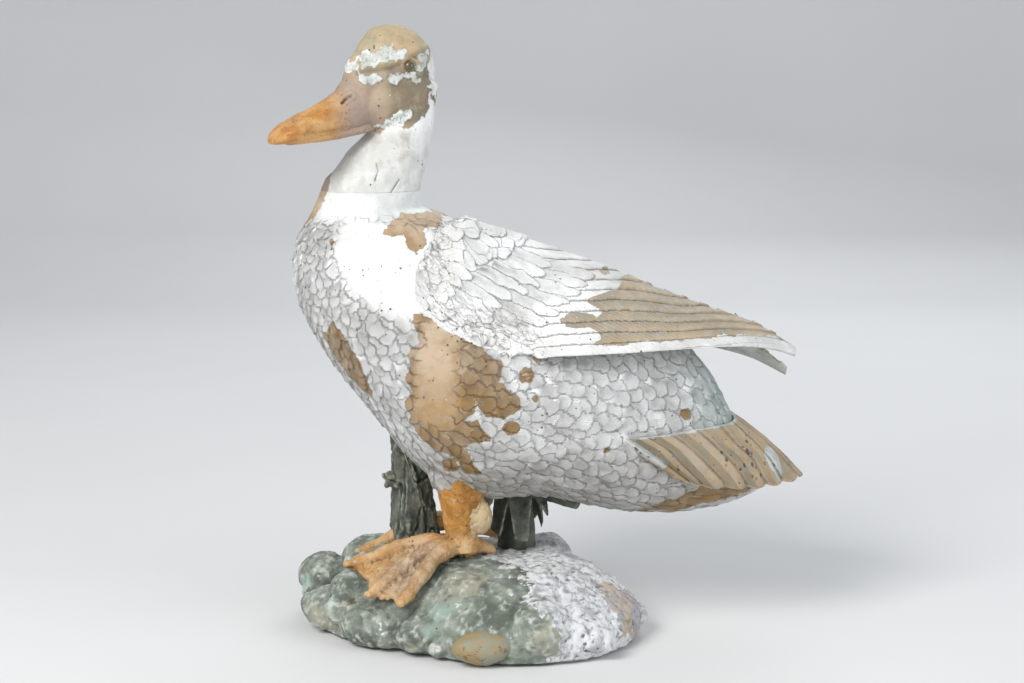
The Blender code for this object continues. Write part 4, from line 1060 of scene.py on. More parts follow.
def weathered(name, bare_light, bare_dark, bare_film, stain_and_shade=(0.37, 0.26, 0.10, 1), barbs=16.0,
              barb_depth=0.5, pitted=0.7, shaded=(0.30, 0.26, 0.20, 1), dirt_and_shade_amount=0.42):
    """Chalky white paint over tan resin, worn through in ragged patches, with dirt and painted shade in
    every hollow.
    """
    material, tree, shader = blank(name)
    where = add(tree, "ShaderNodeTexCoord").outputs["Object"]
    soft = noise(tree, where, 34.0, 5.0, 0.6)
    fine = noise(tree, where, 260.0, 5.0, 0.7)
    white = mixed(tree, slope(tree, soft, 0.36, 0.64), (0.70, 0.695, 0.68, 1), (0.90, 0.90, 0.895, 1))
    white = mixed(tree, times(tree, slope(tree, fine, 0.52, 0.70), 0.35), white, (0.52, 0.51, 0.49, 1))
    blotch = slope(tree, noise(tree, where, 75.0, 5.0, 0.65), 0.42, 0.62)
    green = times(tree, field(tree, "mint"), plus(tree, 0.35, times(tree, blotch, 0.65)), True)
    white = mixed(tree, green, white, (0.44, 0.545, 0.50, 1))
    drab = times(tree, field(tree, "grime"), plus(tree, 0.45, times(tree, blotch, 0.55)), True)
    white = mixed(tree, drab, white, (0.47, 0.44, 0.395, 1))
    resin = mottled(tree, where, (42.0, 5.0, 0.6), (0.38, 0.60), bare_dark, bare_light)
    resin = mixed(tree, times(tree, field(tree, "ochre"), 0.75), resin, stain_and_shade)
    resin = mixed(tree, times(tree, field(tree, "tone"), slope(tree, soft, 0.20, 0.55)), resin, shaded)
    film = slope(tree, noise(tree, where, 150.0, 6.0, 0.7), 0.50, 0.62)
    resin = mixed(tree, times(tree, film, 0.55), resin, bare_film)
    resin = mottled(tree, where, (500.0, 3.0, 0.6), (0.70, 0.76), resin, (0.86, 0.85, 0.82, 1))
    worn = use(tree, "ragged_edge", Place=where, Field=field(tree, "bare"), Raggedness=0.9)
    colour = mixed(tree, worn.outputs["Mask"], white, resin)
    # A dark line along each flake's edge: painted shadow of the paint's thickness.
    colour = mixed(tree, times(tree, worn.outputs["Shadow_rim"], 0.35), colour, (0.36, 0.32, 0.27, 1))
    # Hollows darkened: dirt and painted shade.
    colour = grimed(tree, where, colour, dirt_and_shade_amount, (0.17, 0.15, 0.125, 1))
    # Dark patches deep in the hollows: caked dirt and painted shade.
    caked_and_shaded = times(tree, slope(tree, noise(tree, where, 48.0, 4.0, 0.6), 0.60, 0.72),
                  slope(tree, field(tree, "hollow"), 0.15, 0.6))
    colour = mixed(tree, times(tree, caked_and_shaded, 0.75), colour, (0.085, 0.075, 0.065, 1))
    holes = use(tree, "pin_holes", Place=where, Spacing=360.0, Amount=pitted)
    colour = mixed(tree, times(tree, holes.outputs["Mask"], 0.85), colour, (0.07, 0.06, 0.05, 1))
    rough = between(tree, worn.outputs["Mask"], 0.80, 0.58)
    wiggle = times(tree, noise(tree, where, 90.0, 2.0), 3.0)
    line = maths(tree, "SINE",
                 plus(tree, times(tree, field(tree, "barb"), barbs * 2 * math.pi), wiggle))
    line = times(tree, times(tree, line, field(tree, "vane")), barb_depth * 0.22)
    coat = times(tree, maths(tree, "SUBTRACT", 1.0, worn.outputs["Mask"]), 0.35)
    height = plus(tree, plus(tree, line, coat), times(tree, fine, 0.45))
    height = plus(tree, height, times(tree, holes.outputs["Depth"], 0.8))
    surface(tree, shader, colour, rough, height, 0.0010)
    return material


body_paint = weathered("chalk_paint_body", (0.54, 0.41, 0.285, 1), (0.36, 0.235, 0.12, 1),
                       (0.40, 0.335, 0.25, 1), (0.24, 0.185, 0.085, 1), barb_depth=1.0,
                       shaded=(0.40, 0.235, 0.085, 1), dirt_and_shade_amount=0.17)
fit(body, body_paint, "chalk_paint", "body_casting")

# ------------------------------------------------------------------------------------------------
# wings: a folded wing on either side, each a curved shell with rows of coverts in front and long flight
# feathers behind. The flight feathers have worn to tan, darkened to grey-brown towards the upper edge of
# each as painted shade, with painted shadow in the grooves and white left on the lower edge.
# ------------------------------------------------------------------------------------------------

WING_LENGTH, WING_DROP, WING_THICKNESS = 0.2305, math.radians(3.4), 0.0065
WING_X = body_point(0.269, 0).x

# Along the wing: upper edge, bulge and lower edge as shares of the body's half width and height, and depths.
WING_ROWS = [(0.00, 0.74, 0.815, 0.90, 0.785, 0.945, 0.710, 0.8, 0.8),
             (0.08, 0.34, 0.930, 0.90, 0.850, 1.030, 0.640, 1.0, 1.0),
             (0.20, 0.10, 0.905, 0.82, 0.845, 1.055, 0.590, 1.0, 1.0),
             (0.32, 0.035, 0.855, 0.74, 0.825, 1.060, 0.560, 1.0, 1.0),
             (0.48, 0.030, 0.790, 0.70, 0.755, 0.950, 0.558, 1.2, 0.9),
             (0.64, 0.030, 0.716, 0.57, 0.690, 0.780, 0.560, 1.3, 0.8),
             (0.78, 0.030, 0.655, 0.40, 0.640, 0.560, 0.558, 1.2, 0.7),
             (0.90, 0.030, 0.604, 0.22, 0.596, 0.330, 0.545, 1.0, 0.7),
             (1.00, 0.030, 0.530, 0.08, 0.530, 0.120, 0.512, 0.6, 0.6),]


def shell(name, upper, under):
    """A closed shell between an upper and an under grid of points that share their edges."""
    rows, columns = upper.shape[:2]
    ring = 2 * columns - 2
    points = np.concatenate([upper, under[:, -2:0:-1]], axis=1).reshape(-1, 3)
    i, k = np.meshgrid(np.arange(rows - 1), np.arange(ring), indexing="ij")
    a, b = i * ring + k, i * ring + (k + 1) % ring
    quads = np.stack([a, b, b + ring, a + ring], axis=-1).reshape(-1, 4)
    caps = []
    for row, turn in ((0, 1), (rows - 1, -1)):
        for c in range(columns - 1):
            low_a = row * ring + c
            low_b = row * ring + c + 1
            under_a = row * ring + (ring - c) % ring
            under_b = row * ring + ((ring - c - 1) if c + 1 < columns - 1 else columns - 1)
            face = list(dict.fromkeys([low_a, low_b, under_b, under_a]))
            caps.append(face[::turn])
    bm = bmesh.new()
    verts = [bm.verts.new(p) for p in points]
    for face in list(quads) + caps:
        bm.faces.new([verts[v] for v in face])
    return piece(name, bm), ring


def wing(name, side):
    rows = []
    for row in smooth_rows(WING_ROWS, 48):
        made = [WING_X + row[0] * WING_LENGTH]
        for spread, height in ((row[1], row[2]), (row[3], row[4]), (row[5], row[6])):
            made += [-spread * BODY_WIDTH / 2, BELLY_Z + height * BODY_HEIGHT]
        rows.append(made + [row[7], row[8]])
    rows = np.array(rows)
    v = np.linspace(0, 1, 150)[None, :, None]
    edge = [np.stack([rows[:, 0], rows[:, i], rows[:, i + 1]], axis=1)[:, None] for i in (1, 3, 5)]
    skin = (1 - v) ** 2 * edge[0] + 2 * v * (1 - v) * edge[1] + v**2 * edge[2]

    # Places over the wing in mm: x along it and up from its lower edge.
    step = np.linalg.norm(np.diff(skin, axis=1), axis=2)
    arc = np.concatenate([np.zeros((len(rows), 1)), np.cumsum(step, axis=1)], axis=1)
    up = 985 * (skin[..., 2] - skin[:, -1:, 2]) + 170 * (skin[..., 1] - skin[:, -1:, 1])
    x = skin[..., 0] * 1000
    tall = (arc[:, -1:] - arc)[:, :1] * 1000
    across_wing = (arc[:, -1:] - arc) * 1000
    flat = np.stack([x.ravel(), up.ravel(), 0 * x.ravel()], axis=1)
    ruffled = (flat + 1.3
               * np.stack([lumps(flat, 5.0, 901), lumps(flat, 5.0, 902), 0 * flat[:, 0]], axis=1))

    # Long flight feathers: strips that narrow towards the tip, each lying over the one below it.
    pitch = 6.6 - 1.5 * ease(45, 100, x) - 1.5 * ease(100, 150, x)
    strip = ((up - 6.0) / pitch + 0.10 * lumps(flat, 20.0, 91).reshape(x.shape)
             + 0.05 * lumps(flat, 4.0, 911).reshape(x.shape))
    saw = strip - np.floor(strip)
    relief_map = 1.45 * (1 - 0.8 * saw) * ease(0.0, 0.10, saw)
    edge_band = ease(7.0, 5.5, up)
    relief_map = relief_map * (1 - edge_band) + edge_band * (0.55 + 0.35 * ease(0, 6, up))
    groove = (ease(0.12, 0.02, saw) + ease(0.93, 1.0, saw)) * (1 - edge_band)
    relief_map = relief_map - 0.30 * groove
    barb = saw * 0.35 + x * 0.030

    # Three rows of coverts and the small feathers of the shoulder, laid over one another from the back.
    made = []
    for count, (x0, v0), (x1, v1), reach, half, level in (
            (8, (-2, 10), (34, 48), 24, 3.7, 1.35), (8, (-30, 12), (10, 54), 19, 3.8, 1.95),
            (7, (-50, 22), (-18, 60), 15, 4.4, 2.40)):
        for i in range(count):
            t = i / (count - 1)
            jolt = 2.2 * math.sin(7.3 * i + 11 * level)
            made.append((x0 + (x1 - x0) * t - reach * 0.62 + jolt, v0 + (v1 - v0) * t + 3, reach, half,
                         level, -0.27))
    rng = np.random.default_rng(92)
    for i in range(90):
        cx, cv = -78 + 74 * rng.random(), 2 + 74 * rng.random()
        if cv > 26 + (cx + 72) * 0.62 or cx < -56 or (cv < 16 and cx < -6):
            made.append((cx, cv, 8 + 3 * rng.random(), 4.6 + rng.random(), 2.6 + 0.9 * rng.random(),
                         -0.35))
    made = np.array(made)
    seeds = np.stack([made[:, 0], made[:, 1], 0 * made[:, 0]], axis=1)
    way = np.stack([np.ones(len(made)), made[:, 5], 0 * made[:, 5]], axis=1)
    way /= np.linalg.norm(way, axis=1)[:, None]
    across = np.stack([-way[:, 1], way[:, 0], 0 * way[:, 0]], axis=1)
    crest, phase, _, _ = (feathers(ruffled, seeds, way, across, made[:, 2] * 0.62, made[:, 3],
                                   made[:, 4]))
    crest, phase = crest.reshape(x.shape), phase.reshape(x.shape)
    covered = crest > 0.05
    relief_map = np.where(covered, 0.55 + 0.62 * crest, relief_map)
    barb = np.where(covered, phase, barb)
    rough = rubble(flat / 1000, 0.004, 93, 4, 0.6).reshape(x.shape)
    lead = ease(12, -14, x)
    height = (0.0009 * relief_map + (0.00026 + 0.00022 * lead) * rough) * ease(-73, -50, x)

    # A rim that closes the shell: the relief fades out on the edges, and the flight feathers' tips step it.
    close = ease(0, 1.2, across_wing) * ease(0, 1.5, tall - across_wing)
    along = np.gradient(skin, axis=0)
    over_v = np.gradient(skin, axis=1)
    normal = np.cross(over_v, along)
    normal /= np.linalg.norm(normal, axis=2)[..., None] + 1e-12
    normal[-1] = normal[-2]
    if (normal[..., 1].mean()) > 0:
        normal = -normal
    top = skin + normal * (height * close)[..., None]
    steps = 0.0016 * (x / 11 - np.floor(x / 11)) * ease(52, 70, x) * ease(8.0, 0.0, tall - across_wing)
    top[..., 2] -= steps
    middle = np.array([-0.005, 0.0, BELLY_Z + BODY_HEIGHT * 0.4])
    inward = middle - skin
    inward[..., 0] = 0
    inward /= np.linalg.norm(inward, axis=2)[..., None]
    rim = np.minimum(1.0, 0.30 + 3.0 * np.minimum(v[..., 0], 1 - v[..., 0]))
    rim = rim * ease(0.0, 0.03, np.minimum(v[..., 0], 1 - v[..., 0]))
    depth = WING_THICKNESS * rim * ((1 - v[..., 0]) * rows[:, 7][:, None]
                                    + v[..., 0] * rows[:, 8][:, None])
    under = skin + inward * depth[..., None]
    under[:, 0], under[:, -1] = top[:, 0], top[:, -1]
    obj, ring = shell(name, top, under)

    def over_all(values, beneath=0.0):
        return np.concatenate([values, np.full((len(values), ring - values.shape[1]), beneath)],
                              axis=1).ravel()

    points = points_of(obj)
    if side > 0:
        pivot = np.array([WING_X, 0, BELLY_Z + 0.8 * BODY_HEIGHT])
        turn = np.array(Matrix.Rotation(WING_DROP, 3, "Y"))
        points = (points - pivot) @ turn.T + pivot
        points[:, 1] *= -1
        obj.data.flip_normals()

    # In front and along its fore edge the shell lies down on the shoulder and runs out into it.
    laid = np.maximum(ease(14, -8, x) * ease(34, 8, up), ease(-44, -62, x))
    laid = np.concatenate([laid, laid[:, -2:0:-1]], axis=1)[:, :ring].ravel()
    stand = over_all(0.0002 + 0.9 * height * close, -0.0016)
    for i in np.nonzero(laid > 0.001)[0]:
        spot, out, _, _ = skin_tree.find_nearest(Vector(points[i]))
        points[i] += laid[i] * (np.array(spot + out * stand[i]) - points[i])
    move_points(obj, points)
    tan_edge = x - 33 + 4.0 * np.sin(up * 0.45) - 22 * ease(34, 46, up) + (8 if side > 0 else 0)
    bare = np.minimum.reduce([tan_edge, up - 5.6 - 1.5 * ease(60, 140, x), 149 - x + 0.5 * up])
    bare = np.maximum(bare, 4.5 - np.hypot((x - 22) / 2.2, up - 21))
    bare = np.maximum(bare, 2.5 - np.hypot(x - 41, up - 52))
    # Dark lines in the grooves between the flight feathers: painted shadow.
    groove_shadow = np.clip(groove * ~covered, 0, 1)
    # Grey-brown towards the upper edge of each flight feather, under the next one: painted shade, with a
    # random tone per feather.
    shade = np.clip(0.15 + 0.95 * saw + 0.35 * np.sin(np.floor(strip) * 12.9) + 0.3 * rough, 0,
                    1) * ~covered
    record(obj, bare=over_all(np.clip(bare, -12, 12) / 4, -1.0), barb=over_all(barb * 0.9),
           vane=over_all(0.8 * close), tone=over_all(0.85 * shade),
           mint=over_all((0.35 if side < 0 else 0.95) * ease(90, 135, x)
                         + 0.6 * ease(30, 60, x) * ease(26, 40, up), 0.25 if side < 0 else 0.9),
           grime=over_all(0.35 * ease(15, 35, x) + 0.5 * groove_shadow, 0.55))
    hollow = np.clip(hollows(obj, 3, 0.00025) + over_all(0.75 * groove_shadow * ease(-20, 10, x)), -1, 1)
    record(obj, hollow=hollow * over_all(ease(-73, -60, x)))
    return obj


wing_paint = weathered("chalk_paint_wings", (0.56, 0.42, 0.27, 1), (0.42, 0.295, 0.17, 1),
                       (0.44, 0.42, 0.36, 1), barbs=9.0, barb_depth=0.8, shaded=(0.31, 0.29, 0.235, 1))
fit(wing("folded_wing_left", -1), wing_paint, "chalk_paint", "wing_left")
fit(wing("folded_wing_right", 1), wing_paint, "chalk_paint", "wing_right")

# ------------------------------------------------------------------------------------------------
# tail_fan: a saddle of broad tail feathers over the rump, cast apart and glued on. It is worn to the tan
# resin, speckled dark, with mint and white left in streaks between the feathers and along its left edge.
# ------------------------------------------------------------------------------------------------

TAIL_LENGTH, TAIL_THICKNESS, TAIL_SPREAD = 0.111, 0.0090, 0.066

# From the left edge to the middle: root, bulge and tip as (along, spread, height), then depths at root
# and tip.
TAIL_ROWS = [
    (-0.04, 0.98, 0.298, 0.15, 1.02, 0.232, 0.31, 0.89, 0.158, 0.9, 0.5),
    (0.13, 0.92, 0.300, 0.30, 0.95, 0.232, 0.44, 0.80, 0.134, 1.2, 0.6),
    (0.37, 0.70, 0.308, 0.55, 0.77, 0.228, 0.66, 0.64, 0.121, 1.3, 0.6),
    (0.57, 0.36, 0.308, 0.74, 0.42, 0.226, 0.86, 0.36, 0.116, 1.4, 0.6),
    (0.60, 0.00, 0.312, 0.82, 0.00, 0.235, 1.00, 0.00, 0.118, 1.4, 0.6),
]
TAIL_FEATHERS = 7

rows = []
for side, order in ((-1, TAIL_ROWS), (1, TAIL_ROWS[-2::-1])):
    for row in order:
        made = []
        for i in (0, 3, 6):
            made += [body_point(0.704, 0).x + row[i] * TAIL_LENGTH, side * row[i + 1] * TAIL_SPREAD,
                     BELLY_Z + row[i + 2] * BODY_HEIGHT]
        rows.append(made + list(row[9:]))
rows = np.array(smooth_rows(rows, 30))
v = np.linspace(0, 1, 130)[None, :, None]
skin = ((1 - v) ** 2 * rows[:, None, 0:3] + 2 * v * (1 - v) * rows[:, None, 3:6]
        + v**2 * rows[:, None, 6:9])
v = v[..., 0]
out = np.linspace(-1, 1, len(rows))[:, None] + 0 * v
fan = np.stack([out.ravel() * 3, (v + 0 * out).ravel() * 2, 0 * out.ravel()], 1)
strip = np.abs(out) * TAIL_FEATHERS + 0.5 + 0.10 * lumps(fan, 0.6, 95).reshape(out.shape)
saw = strip - np.floor(strip)
groove = ease(0.16, 0.03, saw) + ease(0.86, 1.0, saw)
quill = np.exp(-((saw - 0.52) / 0.05) ** 2)
points = skin.reshape(-1, 3)
rough = rubble(points, 0.004, 96, 3).reshape(out.shape)
height = 0.0011 * (saw * ease(1.0, 0.9, saw)) - 0.0004 * groove + 0.00025 * quill + 0.00025 * rough
close = ease(0, 0.02, v) * ease(1, 0.98, v) * ease(1.0, 0.98, np.abs(out))
normal = np.cross(np.gradient(skin, axis=0), np.gradient(skin, axis=1))
normal /= np.linalg.norm(normal, axis=2)[..., None] + 1e-12
if normal[..., 2].mean() < 0:
    normal = -normal
along = skin[:, -1] - skin[:, 0]
along /= np.linalg.norm(along, axis=1)[:, None]
scallop = (0.0030 * (np.sin(math.pi * np.clip(saw, 0, 1)) - 0.7) * ease(0.86, 1.0, v)
           * ease(1.0, 0.96, np.abs(out)))
top = skin + normal * (height * close)[..., None] + along[:, None] * scallop[..., None]
inward = np.array([-0.005, 0.0, BELLY_Z - 0.03]) - skin
inward[..., 0] = 0
inward /= np.linalg.norm(inward, axis=2)[..., None]
near_edge = np.minimum(v, 1 - v)
depth = TAIL_THICKNESS * np.minimum(1, 0.30 + 3 * near_edge) * ease(0, 0.03, near_edge)
depth = depth * ((1 - v) * rows[:, 9][:, None] + v * rows[:, 10][:, None])
under = skin + inward * depth[..., None] + along[:, None] * scallop[..., None]
under[:, 0], under[:, -1] = top[:, 0], top[:, -1]
tail, ring = shell("tail_feathers", top, under)


def over_tail(values, beneath=0.0):
    values = values + 0 * out
    return np.concatenate([values, np.full((len(values), ring - values.shape[1]), beneath)],
                          axis=1).ravel()


ragged = rubble(points, 0.012, 97, 3).reshape(out.shape)
left_white = 1.6 * ease(-0.90, -0.97, out) * ease(0.75, 0.45, v)
bare = (1.1 - left_white * 2 - 1.6 * ease(0.09, 0.02, v)
        - 0.9 * groove * ease(0.0, 0.30, ragged) * ease(0.15, 0.5, v))
bare = (bare - 1.8 * ease(0.25, 0.50, lumps(points, 0.016, 98).reshape(out.shape))
        * ease(-0.45, -0.2, out) - 1.0 * ease(0.965, 0.99, v) * ease(0.1, 0.4, ragged))
# grime and hollow darken the grooves between the feathers and the underside, as dirt and painted shade.
record(tail, bare=over_tail(bare, 0.6), barb=over_tail(v * 5.0 + np.abs(saw - 0.52) * 2.2),
       vane=over_tail(0.8 * close),
       tone=over_tail(0.16 * np.abs(np.sin(np.floor(strip) * 12.9)) + 0.12 * ease(0.4, 1.0, saw)
                      + 0.25 * (ragged > 0.1)), mint=over_tail(0.5 + 0.5 * ease(-0.6, 0.0, out), 0.2),
       grime=over_tail(0.35 + 0.3 * groove, 0.8), ochre=over_tail(ease(-0.86, -0.95, out)))
record(tail, hollow=np.clip(hollows(tail, 3, 0.00030) + over_tail(0.5 * groove * close), -1, 1))
tail_paint = weathered("worn_tail", (0.60, 0.44, 0.27, 1), (0.44, 0.31, 0.18, 1), (0.42, 0.40, 0.35, 1),
                       (0.50, 0.34, 0.14, 1), 9.0, 0.9, 1.7, (0.38, 0.36, 0.29, 1), 0.6)
fit(tail, tail_paint, "bare_resin", "tail_fan")

# ------------------------------------------------------------------------------------------------
# head_neck: neck and head in one casting that plugs into the body. The head is bare tan and brown with
# flakes of minty white on the brow and cheek, and the neck keeps its white down the nape.
# ------------------------------------------------------------------------------------------------

HEAD_LENGTH, HEAD_HEIGHT, HEAD_WIDTH, EYE_RADIUS = 0.056, 0.053, 0.043, 0.0042
FACE = [(-150, 296), (-105.9, 308.1), (-95.4, 307.9), (-80.9, 309.7), (-75, 312), (-70.3, 315.5),
        (-65.7, 321.3), (-64, 328.4), (-66.3, 338.1), (-68, 345.3), (-66.5, 353.7), (-64, 385),
        (-150, 385)]
FLAKES = [[(-106.4, 356.1), (-100.8, 355), (-96, 356.2), (-92.5, 359.7), (-88.4, 359.7), (-85.4, 356.7),
           (-79.6, 358.5), (-78.4, 355.5), (-81.8, 351.4), (-87.7, 349.1), (-96, 346.7),
           (-105.5, 344.9), (-106.8, 350.2)],
          [(-116.2, 343.1), (-115, 347.8), (-109.3, 350.8), (-107.3, 346.7), (-111.6, 344.3)],
          [(-108.5, 343.8), (-103.1, 341.4), (-97.2, 342), (-92.4, 340.2), (-90.6, 343.8),
           (-82.9, 343.2), (-77.2, 341.9), (-73.2, 343), (-71.4, 338.2), (-73.2, 334.1), (-76.1, 338.3),
           (-80.7, 339.5), (-85.4, 334.8), (-90.1, 336), (-92.5, 339), (-98.5, 334.9), (-103.2, 336.1),
           (-106.7, 339.6)], [(-91.6, 314), (-85.5, 318.2), (-80.8, 319.9), (-75.5, 322.2),
                              (-76.1, 316.3), (-80.9, 313.3), (-85.7, 310.4), (-98, 309.5), (-104, 309),
                              (-103, 311), (-91.7, 313)],
          [(-71.5, 352.5), (-67.5, 353.1), (-69.1, 346.6), (-72, 343), (-73.7, 346.6)],]
BROW = [(-68, 353.5), (-71.5, 352.5), (-76.6, 350.8), (-81.7, 347.9), (-88.8, 344.9), (-97.7, 343.8),
        (-107.9, 342.6), (-114.8, 340.7)]
THROAT_SHADE = [(-97.9, 307.3), (-76.2, 307.3), (-75.1, 299.4), (-81, 290.6), (-88.1, 284.8), (-95.2, 287.9),
          (-98.9, 296.7)]
CRACKS = [[(-83.5, 279.3), (-87.5, 272.9), (-91, 267.7)], [(-97.6, 289), (-96.4, 284.9), (-98.1, 279)]]
NOSTRIL = [(-116.8, 325.4), (-114.2, 328.2), (-111.9, 329.1)]
EYE_X, EYE_Z = -2.2, 8.2
BILL_LENGTH, BILL_WIDTH = 0.064, 0.027

# Along the bill from the face: share of its length, then top, bottom and width as shares of half its width.
SNOUT = [(-0.14, 1.05, -1.75, 0.80), (0.02, 0.92, -2.05, 0.96), (0.14, 0.48, -2.22, 0.97),
         (0.25, -0.02, -2.32, 0.92), (0.34, -0.62, -2.30, 0.80)]


def near_cheek(local):
    """The same places on the duck's left cheek, for what is alike on both sides of the head."""
    turned = np.array(head_frame)
    return ((local * np.array([1, 0, 1]) + np.abs(local) * np.array([0, 1, 0])) / 1000
            @ turned[:3, :3].T + turned[:3, 3])


def bill_rings(rows, count, square):
    """Rings of points across the bill at each row, squarer below than above."""
    wide = BILL_WIDTH / 2
    rings = []
    for forward, top, bottom, width in rows:
        ring = []
        for k in range(count):
            a = 2 * math.pi * k / count
            up = math.cos(a)
            z = (top + bottom) / 2 + (top - bottom) / 2 * (up if up > 0 else -abs(up) ** square)
            x = HEAD_LENGTH * 0.30 + forward * BILL_LENGTH
            ring.append(head_frame @ Vector((x, width * wide * math.sin(a), z * wide)))
        rings.append(ring)
    return rings


bm = bmesh.new()
for centre, radii in (((0, 0, 0.004), (0.50, 0.47, 0.56)), ((0.002, 0, -0.014), (0.46, 0.50, 0.36)),
                      ((0.020, 0, 0.0), (0.22, 0.30, 0.36))):
    sizes = (HEAD_LENGTH * radii[0], HEAD_WIDTH * radii[1], HEAD_HEIGHT * radii[2])
    ball(bm, head_frame @ Vector(centre), sizes, HEAD_TURN, 48, 28)
neck_clay(bm)
skin_over(bm, bill_rings(SNOUT, 32, 0.7))
head = melt(piece("duck_head", bm), 0.00070, 18)
points, normals = points_of(head), normals_of(head)
place = np.array(head_frame.inverted())
local = (points @ place[:3, :3].T + place[:3, 3]) * 1000
fx, fy, fz = local.T
skull = ease(-34, -22, fz)
high = neck_skin(points) * (1 - 0.5 * skull)
face = np.where((fz > -34)[:, None], near_cheek(local), points)
ex, ez = fx - EYE_X, fz - EYE_Z
beside = ease(8, 14, np.abs(fy))
round_eye = np.hypot(ex / 1.25, ez)
lid = np.exp(-((round_eye - 4.4) / 1.0) ** 2) * (0.5 + 0.9 * ease(-1, 3, ez))
pouch = np.exp(-((round_eye - 6.8) / 1.2) ** 2) * ease(1.0, -2.0, ez)
high += beside * (0.0010 * lid + 0.0004 * pouch - 0.0015 * ease(5.2, 2.6, round_eye))
brow = stroke(face, BROW)
ridge = stroke(face - np.array([0, 0, 0.0042]), BROW)
high += ease(5, 10,
             np.abs(fy)) * (0.0011 * np.exp(-(ridge / 2.4) ** 2) - 0.0012 * np.exp(-(brow / 1.5) ** 2))
high -= 0.0012 * ease(12, 22, fx) * ease(0, 10, fz)
nostril = stroke(face, NOSTRIL)
slit = ease(1.1, 0.4, nostril) * ease(14, 16, fx)
high += ease(14, 16, fx) * 0.0005 * np.exp(-((nostril - 2.2) / 0.8) ** 2) - 0.0013 * slit
high += skull * (0.0006 * rubble(points, 0.010, 101, 3) + 0.00025 * rubble(points, 0.0025, 102, 2))
flake_depth = np.maximum.reduce([drawn(face, patch) for patch in FLAKES])
near, after = cells(points, 0.0030, 103)
crisp = ease(-1.0, 0.6, flake_depth + 1.2 * rubble(points, 0.003, 104))
high += crisp * (0.00045 * (1 - 0.9 * ease(0.14, 0.03, after - near))
                 + 0.0005 * rubble(points, 0.0022, 107, 3))
for crack in CRACKS:
    high -= 0.0008 * ease(0.8, 0.1,
                          stroke(points, crack) + 0.5 * lumps(points, 0.003, 105)) * (points[:, 1] < 0)
move_points(head, points + normals * high[:, None])
x, z = points[:, 0] * 1000, points[:, 2] * 1000
white = np.maximum(flake_depth * 0.75 + 0.35 + 1.1 * rubble(points, 0.0026, 108, 2),
                   -drawn(face, FACE) * 0.5)
bare = np.maximum(np.where(points[:, 1] < 0.012, -white,
                           -white + 3 * rubble(points, 0.02, 106) * ease(-34, -30, fz)),
                  drawn(points, COLLAR))
# The throat under the jaw is painted darker as shade.
throat_shade = ease(-3, 3, drawn(points, THROAT_SHADE) + 2 * rubble(points, 0.006, 109)) * (points[:, 1] < 0)
cheeks = ease(349, 341, z - 0.10 * (x + 90)) * ease(17, 9, fx)
record(head, bare=np.clip(bare, -12, 12) / 4,
       # The nostril slit is added to the hollows, to be darkened as painted shade.
       hollow=np.clip(hollows(head, 4, 0.00035) + 1.4 * slit, -1, 1), barb=0 * x, vane=0 * x,
       tone=ease(9, 19, fx) * ease(8, -4, fz),
       # The neck below the head takes mint and grime as painted shade.
       mint=0.42 * ease(-26, -34, fz) + 0.8 * skull * ease(-1, 1, flake_depth),
       grime=np.maximum(0.95 * throat_shade + 0.40 * ease(-26, -34, fz) * (1 - throat_shade),
                        0.55 * skull * ease(-1, 1, flake_depth)),
       # The brow line also takes the dark stain, as a painted shadow under the brow ridge; the cheeks take
       # it as their brown.
       ochre=np.clip(cheeks + 0.45 * np.exp(-(brow / 3.2) ** 2), 0, 1) * skull)
trim(head, neck_joint.z, False)
head_paint = weathered("worn_head", (0.53, 0.385, 0.225, 1), (0.38, 0.335, 0.215, 1),
                       (0.33, 0.285, 0.20, 1), (0.125, 0.108, 0.075, 1), pitted=0.6,
                       shaded=(0.345, 0.255, 0.205, 1), dirt_and_shade_amount=0.7)
fit(head, head_paint, "chalk_paint", "head_neck")

# ------------------------------------------------------------------------------------------------
# bill: upper and lower bill, each cast on its own and let into the face. Worn orange paint, finely
# speckled, with slit nostrils and a ridge that runs down to the blunt tip.
# ------------------------------------------------------------------------------------------------

UPPER_BILL = [(-0.10, 0.75, -1.70, 0.55), (0.08, 0.50, -2.05, 0.72), (0.30, -0.37, -2.42, 0.86),
              (0.55, -1.05, -2.58, 0.92), (0.80, -1.60, -2.68, 1.00), (0.94, -2.05, -2.70, 0.88),
              (1.00, -2.35, -2.70, 0.40),]
LOWER_BILL = [(-0.10, -1.40, -2.25, 0.50), (0.10, -1.70, -2.40, 0.66), (0.40, -2.05, -2.62, 0.72),
              (0.70, -2.30, -2.76, 0.76), (0.84, -2.45, -2.80, 0.60),]


